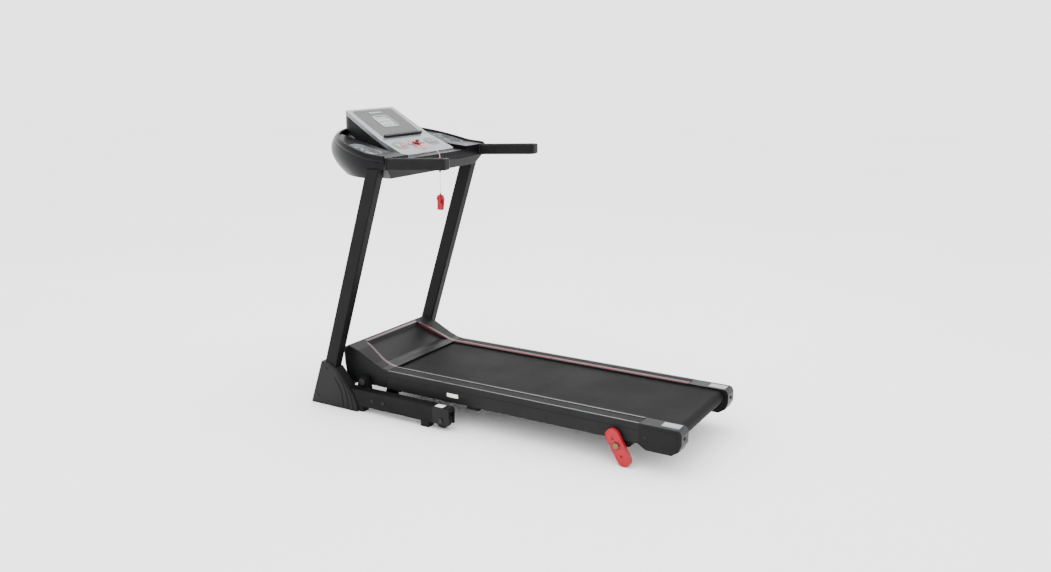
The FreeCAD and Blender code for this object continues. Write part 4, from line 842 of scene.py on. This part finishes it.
CORD_ROUTE = ((-0.42497, 0, 0.98579), (-0.40661, 0, 0.97785), (-0.366, -0.0015, 0.979),
              (-0.3354, 0, 0.960), (-0.3342, 0.001, 0.931), (-0.335, 0.0004, 0.905),
              (-0.335, 0, 0.807))
CORD_WIDE = 0.0022
curve = bpy.data.curves.new("safety_lanyard_cord", "CURVE")
curve.dimensions = "3D"
curve.bevel_depth = CORD_WIDE / 2
curve.bevel_resolution = 5
curve.resolution_u = 24
curve.use_fill_caps = True
spline = curve.splines.new("NURBS")
spline.points.add(len(CORD_ROUTE) - 1)
for point, place in zip(spline.points, CORD_ROUTE):
    point.co = (*place, 1)
spline.order_u = 3
spline.use_endpoint_u = True
curve.materials.append(braid)
cord = bpy.data.objects.new("safety_lanyard_cord", curve)
bpy.context.scene.collection.objects.link(cord)
fitted(cord, "safety_key")
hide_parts("safety_lanyard")

ferrule = rounded(disc("lanyard_ferrule", satin_abs, spot(405, 0.3, 891), 3.4, 9, (0, 0, 0)), 1.2,
                  3, 50)
fitted(ferrule, "safety_key")

# --- motor hood accents --------------------------------------------------------------------------
# Dark red painted bands line the sunken middle of the hood: along its inner walls, on the edge
# above them, and across its front. Masked and sprayed on the charcoal moulding.

# dark red two-pack paint, satin
maroon_paint = grained("maroon_satin_paint", "#2e0810", "#3a0b15", 0.0012, 0.00005, (0.34, 0.44),
                       patch=0.05, Coat_Weight=0.2)
# the hood's top and its sunken middle from the side, as (x, z) millimetres
HOOD_TOP = ((134, 229), (180, 214), (262, 174), (296, 161), (322.5, 157))
WELL_FLOOR = ((158, 206), (262, 161.5), (330, 161.5))


def on_line(points, x):
    """Height of a line of (x, z) points at one place."""
    for (x0, z0), (x1, z1) in zip(points, points[1:]):
        if x <= x1:
            return z0 + (z1 - z0) * (x - x0) / (x1 - x0)
    return points[-1][1]


for side_name, side in SIDES:
    rings = []
    for x in (160, 170, 180, 200, 220, 240, 262, 280, 296, 310, 321.5):
        wall = 156 + (x - 118) * 33 / 144 if x < 262 else 189
        top = on_line(HOOD_TOP, x) + 0.5
        low = min(on_line(WELL_FLOOR, x) + 0.4, top - 2)
        inner, buried, outer = wall - 0.5, wall + 0.6, wall + 7 + (x - 160) * 0.06
        rings.append([spot(x, side * y, z) for y, z in (
            (outer, top), (inner, top), (inner, low), (buried, low), (buried, top - 1),
            (outer, top - 1))])
    band = loft(f"hood_accent_{side_name}", maroon_paint, rings)
    fitted(rounded(band, 0.3, 2, 50), "deck")
band = side_slab("hood_accent_front", maroon_paint,
                 [(143, 226.5), (154, 222.9), (154, 222.9 - 1.2), (143, 226.5 - 1.2)], -163, 163)
fitted(rounded(band, 0.3, 2, 50), "deck")

# --- foot rail trims -----------------------------------------------------------------------------
# Each foot rail has a moulded ridge along the belt with two red vinyl stripes on its slope, five
# tread ribs and a groove in its side; two bright metal strips on its top are painted highlights.

# painted highlight strips, made as bright metal: drawn grain runs along the machine, lines under 1
# mm
painted_highlight_metal = new_finish("painted_highlight_strip", Metallic=1.0)
place = add(painted_highlight_metal, "TexCoord").outputs["Object"]
stretch = add(painted_highlight_metal, "Mapping", {"Scale": (14, 1600, 1600)}, [(place, "Vector")])
lines = add(painted_highlight_metal, "TexNoise", {"Scale": 1.0, "Detail": 3.0}, [(stretch.outputs[0], "Vector")])
tone = add(painted_highlight_metal, "ValToRGB", {"stops": [(0.3, "#7e8082"), (0.7, "#a3a5a8")]},
           [(lines.outputs["Fac"], "Fac")])
polish = add(painted_highlight_metal, "MapRange", {"To Min": 0.3, "To Max": 0.5},
             [(lines.outputs["Fac"], "Value")])
wired(painted_highlight_metal, tone, polish)

# rose red vinyl stripe, brighter than the hood's paint
stripe_vinyl = grained("rose_red_vinyl", "#7c1429", "#8d1b33", 0.0015, 0.00003, (0.3, 0.4),
                       patch=0.08)
rail_low, rail_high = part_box("foot_rails")
rail_start = Vector((rail_low[0] - front + MM, 0, 0))
rail_end = Vector((rail_high[0] - front - MM, 0, 0))


def rail_strip(name, finish, side, section):
    """A strip along one foot rail from its cross-section of (distance outwards, z) millimetres."""
    return slab(name, finish, [spot(0, side * y, z) for y, z in section], rail_start, rail_end)


RIDGE_FOOT = (188.4, 153.4)
RIDGE_RISE = (158.6 - 153.4) / (201 - 188.4)
for side_name, side in SIDES:
    ridge = rail_strip(f"rail_trim_{side_name}", satin_abs, side,
                       ((188.4, 151), RIDGE_FOOT, (201, 158.6), (204, 158.6), (207, 155.8),
                        (207, 151)))
    fitted(rounded(ridge, 0.5, 2), "deck")
    for number, (near, far) in enumerate(((190.2, 193.6), (196, 199.4))):
        near_z, far_z = (RIDGE_FOOT[1] + (y - RIDGE_FOOT[0]) * RIDGE_RISE for y in (near, far))
        stripe = rail_strip(f"rail_stripe_{side_name}_{number + 1}", stripe_vinyl, side,
                            ((near, near_z - 0.4), (near, near_z + 0.35), (far, far_z + 0.35),
                             (far, far_z - 0.4)))
        fitted(stripe, "deck")
    # painted highlights: two bright strips, on the ridge's top edge and along the rail's outer edge
    for number, (near, far, z) in enumerate(((201.4, 203.8, 158.4), (246.5, 248.7, 155.8))):
        line = rail_strip(f"rail_bright_line_{side_name}_{number + 1}", painted_highlight_metal, side,
                          ((near, z - 0.6), (near, z + 0.5), (far, z + 0.5), (far, z - 0.6)))
        fitted(rounded(line, 0.25, 2), "deck")
    for number in range(5):
        y = 212 + 7 * number
        tread = rail_strip(f"rail_tread_{side_name}_{number + 1}", grained_abs, side,
                           ((y, 155.6), (y + 0.8, 156.9), (y + 2.6, 156.9), (y + 3.4, 155.6)))
        fitted(tread, "deck")
    groove = rail_strip(f"rail_side_groove_{side_name}", moulded_rubber, side,
                        ((255.2, 132), (255.2, 134.6), (255.9, 134), (255.9, 132.6)))
    fitted(groove, "deck")

# --- end cap details -----------------------------------------------------------------------------
# Each end cap has a smooth raised outer panel, a silver badge with nothing on it, a belt-tension
# bolt at the back and a screw in its side.

for side_name, side in SIDES:
    outline = [(1368, 92), (1392, 76), (1466, 76), (1486, 86), (1493, 106), (1493, 132),
               (1486, 146), (1368, 146)]
    outer = sorted((side * 255, side * 256.6))
    cap_panel = side_slab(f"end_cap_panel_{side_name}", satin_abs, outline, *outer)
    fitted(rounded(cap_panel, 0.7, 3), "deck")
    edges = sorted((side * 200, side * 236))
    badge = block(f"end_cap_badge_{side_name}", silver_paint, (1427, edges[0], 155.8),
                  (1489, edges[1], 156.9))
    fitted(rounded(badge, 0.4, 3), "deck")
    fitted(screw(f"belt_tension_bolt_{side_name}", black_oxide, spot(1505.6, side * 222, 122),
                 Vector((1, 0, 0)), 6.5, 3.4), "deck")
    fitted(screw(f"end_cap_screw_{side_name}", black_oxide, spot(1380, side * 255.4, 112),
                 Vector((0, side, 0)), 4, 1.6), "deck")

# --- running belt --------------------------------------------------------------------------------
# An endless two-ply polyester belt with a PVC running face, joined into a ring.
# The face is embossed with a fine diamond grain so that shoes grip.

# PVC belt cover: diamonds about 2.4 mm across, drawn as coarse as they need to show
belt_cover = new_finish("embossed_pvc_belt", IOR=1.53, Specular_IOR_Level=0.06)
place = add(belt_cover, "TexCoord").outputs["Object"]
wear = add(belt_cover, "TexNoise", {"Scale": 5.0, "Detail": 5.0}, [(place, "Vector")])
tone = add(belt_cover, "ValToRGB", {"stops": [(0.3, "#080809"), (0.7, "#0d0d0e")]},
           [(wear.outputs["Fac"], "Fac")])
turned = add(belt_cover, "Mapping", {"Rotation": (0, 0, math.radians(45))}, [(place, "Vector")])
diamonds = add(belt_cover, "TexVoronoi", {"Scale": 420.0, "Randomness": 0.15},
               [(turned.outputs[0], "Vector")])
polish = add(belt_cover, "MapRange", {"From Min": 0.3, "From Max": 0.7, "To Min": 0.56,
                                      "To Max": 0.68}, [(wear.outputs["Fac"], "Value")])
bump = add(belt_cover, "Bump", {"Strength": 0.5, "Distance": 0.0003},
           [(diamonds.outputs["Distance"], "Height")])
wired(belt_cover, tone, polish, bump)
dress(belt_cover, "running_belt")

# --- incline feet --------------------------------------------------------------------------------
# Bright red nylon feet that turn about a bolt, with a round dimple towards each end.
# A raised edge runs round each foot, and a ring round its bolt.

# the raised edge and the ring are the same nylon in a deeper red; the same deeper red on each
# dimple's floor is painted shade in its hollow
deep_red_and_painted_shade = grained("deep_red_and_painted_shade", "#6a0614", "#7a0a1a", 0.001, 0.00006, (0.36, 0.48),
                         patch=0.02, IOR=1.53)
# olive passivated steel on the bolt's hexagon
olive_steel = grained("olive_passivated_steel", "#5d5236", "#776a49", 0.0008, 0.00004, (0.32, 0.46),
                      patch=0.006, Metallic=1.0)
dress(red_nylon, "incline_foot_left", "incline_foot_right")
dress(olive_steel, "foot_bolts")
# the middles of each foot's two round ends, as (x, z) millimetres
foot_top, foot_low = Vector((1270.5, 100.3)), Vector((1315.5, 25))
along = (foot_low - foot_top).normalized()
across = Vector((-along.y, along.x))
SIDEWAYS = (math.radians(90), 0, 0)
for side_name, side in SIDES:
    body = f"incline_foot_{side_name}"
    # painted shade: a deeper red disc on the floor of each dimple
    for number, share in enumerate((0.09, 0.83)):
        middle = foot_top + (foot_low - foot_top) * share
        dimple = disc(f"foot_dimple_shade_{side_name}_{number + 1}", deep_red_and_painted_shade,
                      spot(middle.x, side * 271.2, middle.y), 4.8, 1.2, SIDEWAYS)
        fitted(rounded(dimple, 0.4, 2, 50), body)
    ring = hoop(f"foot_boss_ring_{side_name}", deep_red_and_painted_shade, spot(1288, side * 274.5, 71), 15,
                1.4, SIDEWAYS, 12)
    fitted(ring, body)
    rings = []
    for turn, end in ((1, foot_low), (-1, foot_top)):
        for step in range(33):
            angle = math.pi * step / 32
            outward = (across * math.cos(angle) + along * math.sin(angle)) * turn
            ring = []
            for reach, lift in ((22, 0), (21.6, 0.9), (19.8, 0.9), (19.4, 0)):
                place = end + outward * reach
                ring.append(spot(place.x, side * (274.3 + lift), place.y))
            rings.append(ring)
    edge = loft(f"foot_edge_{side_name}", deep_red_and_painted_shade, rings + rings[:1], capped=False)
    bpy.ops.object.shade_smooth_by_angle(angle=math.radians(45))
    fitted(edge, body)
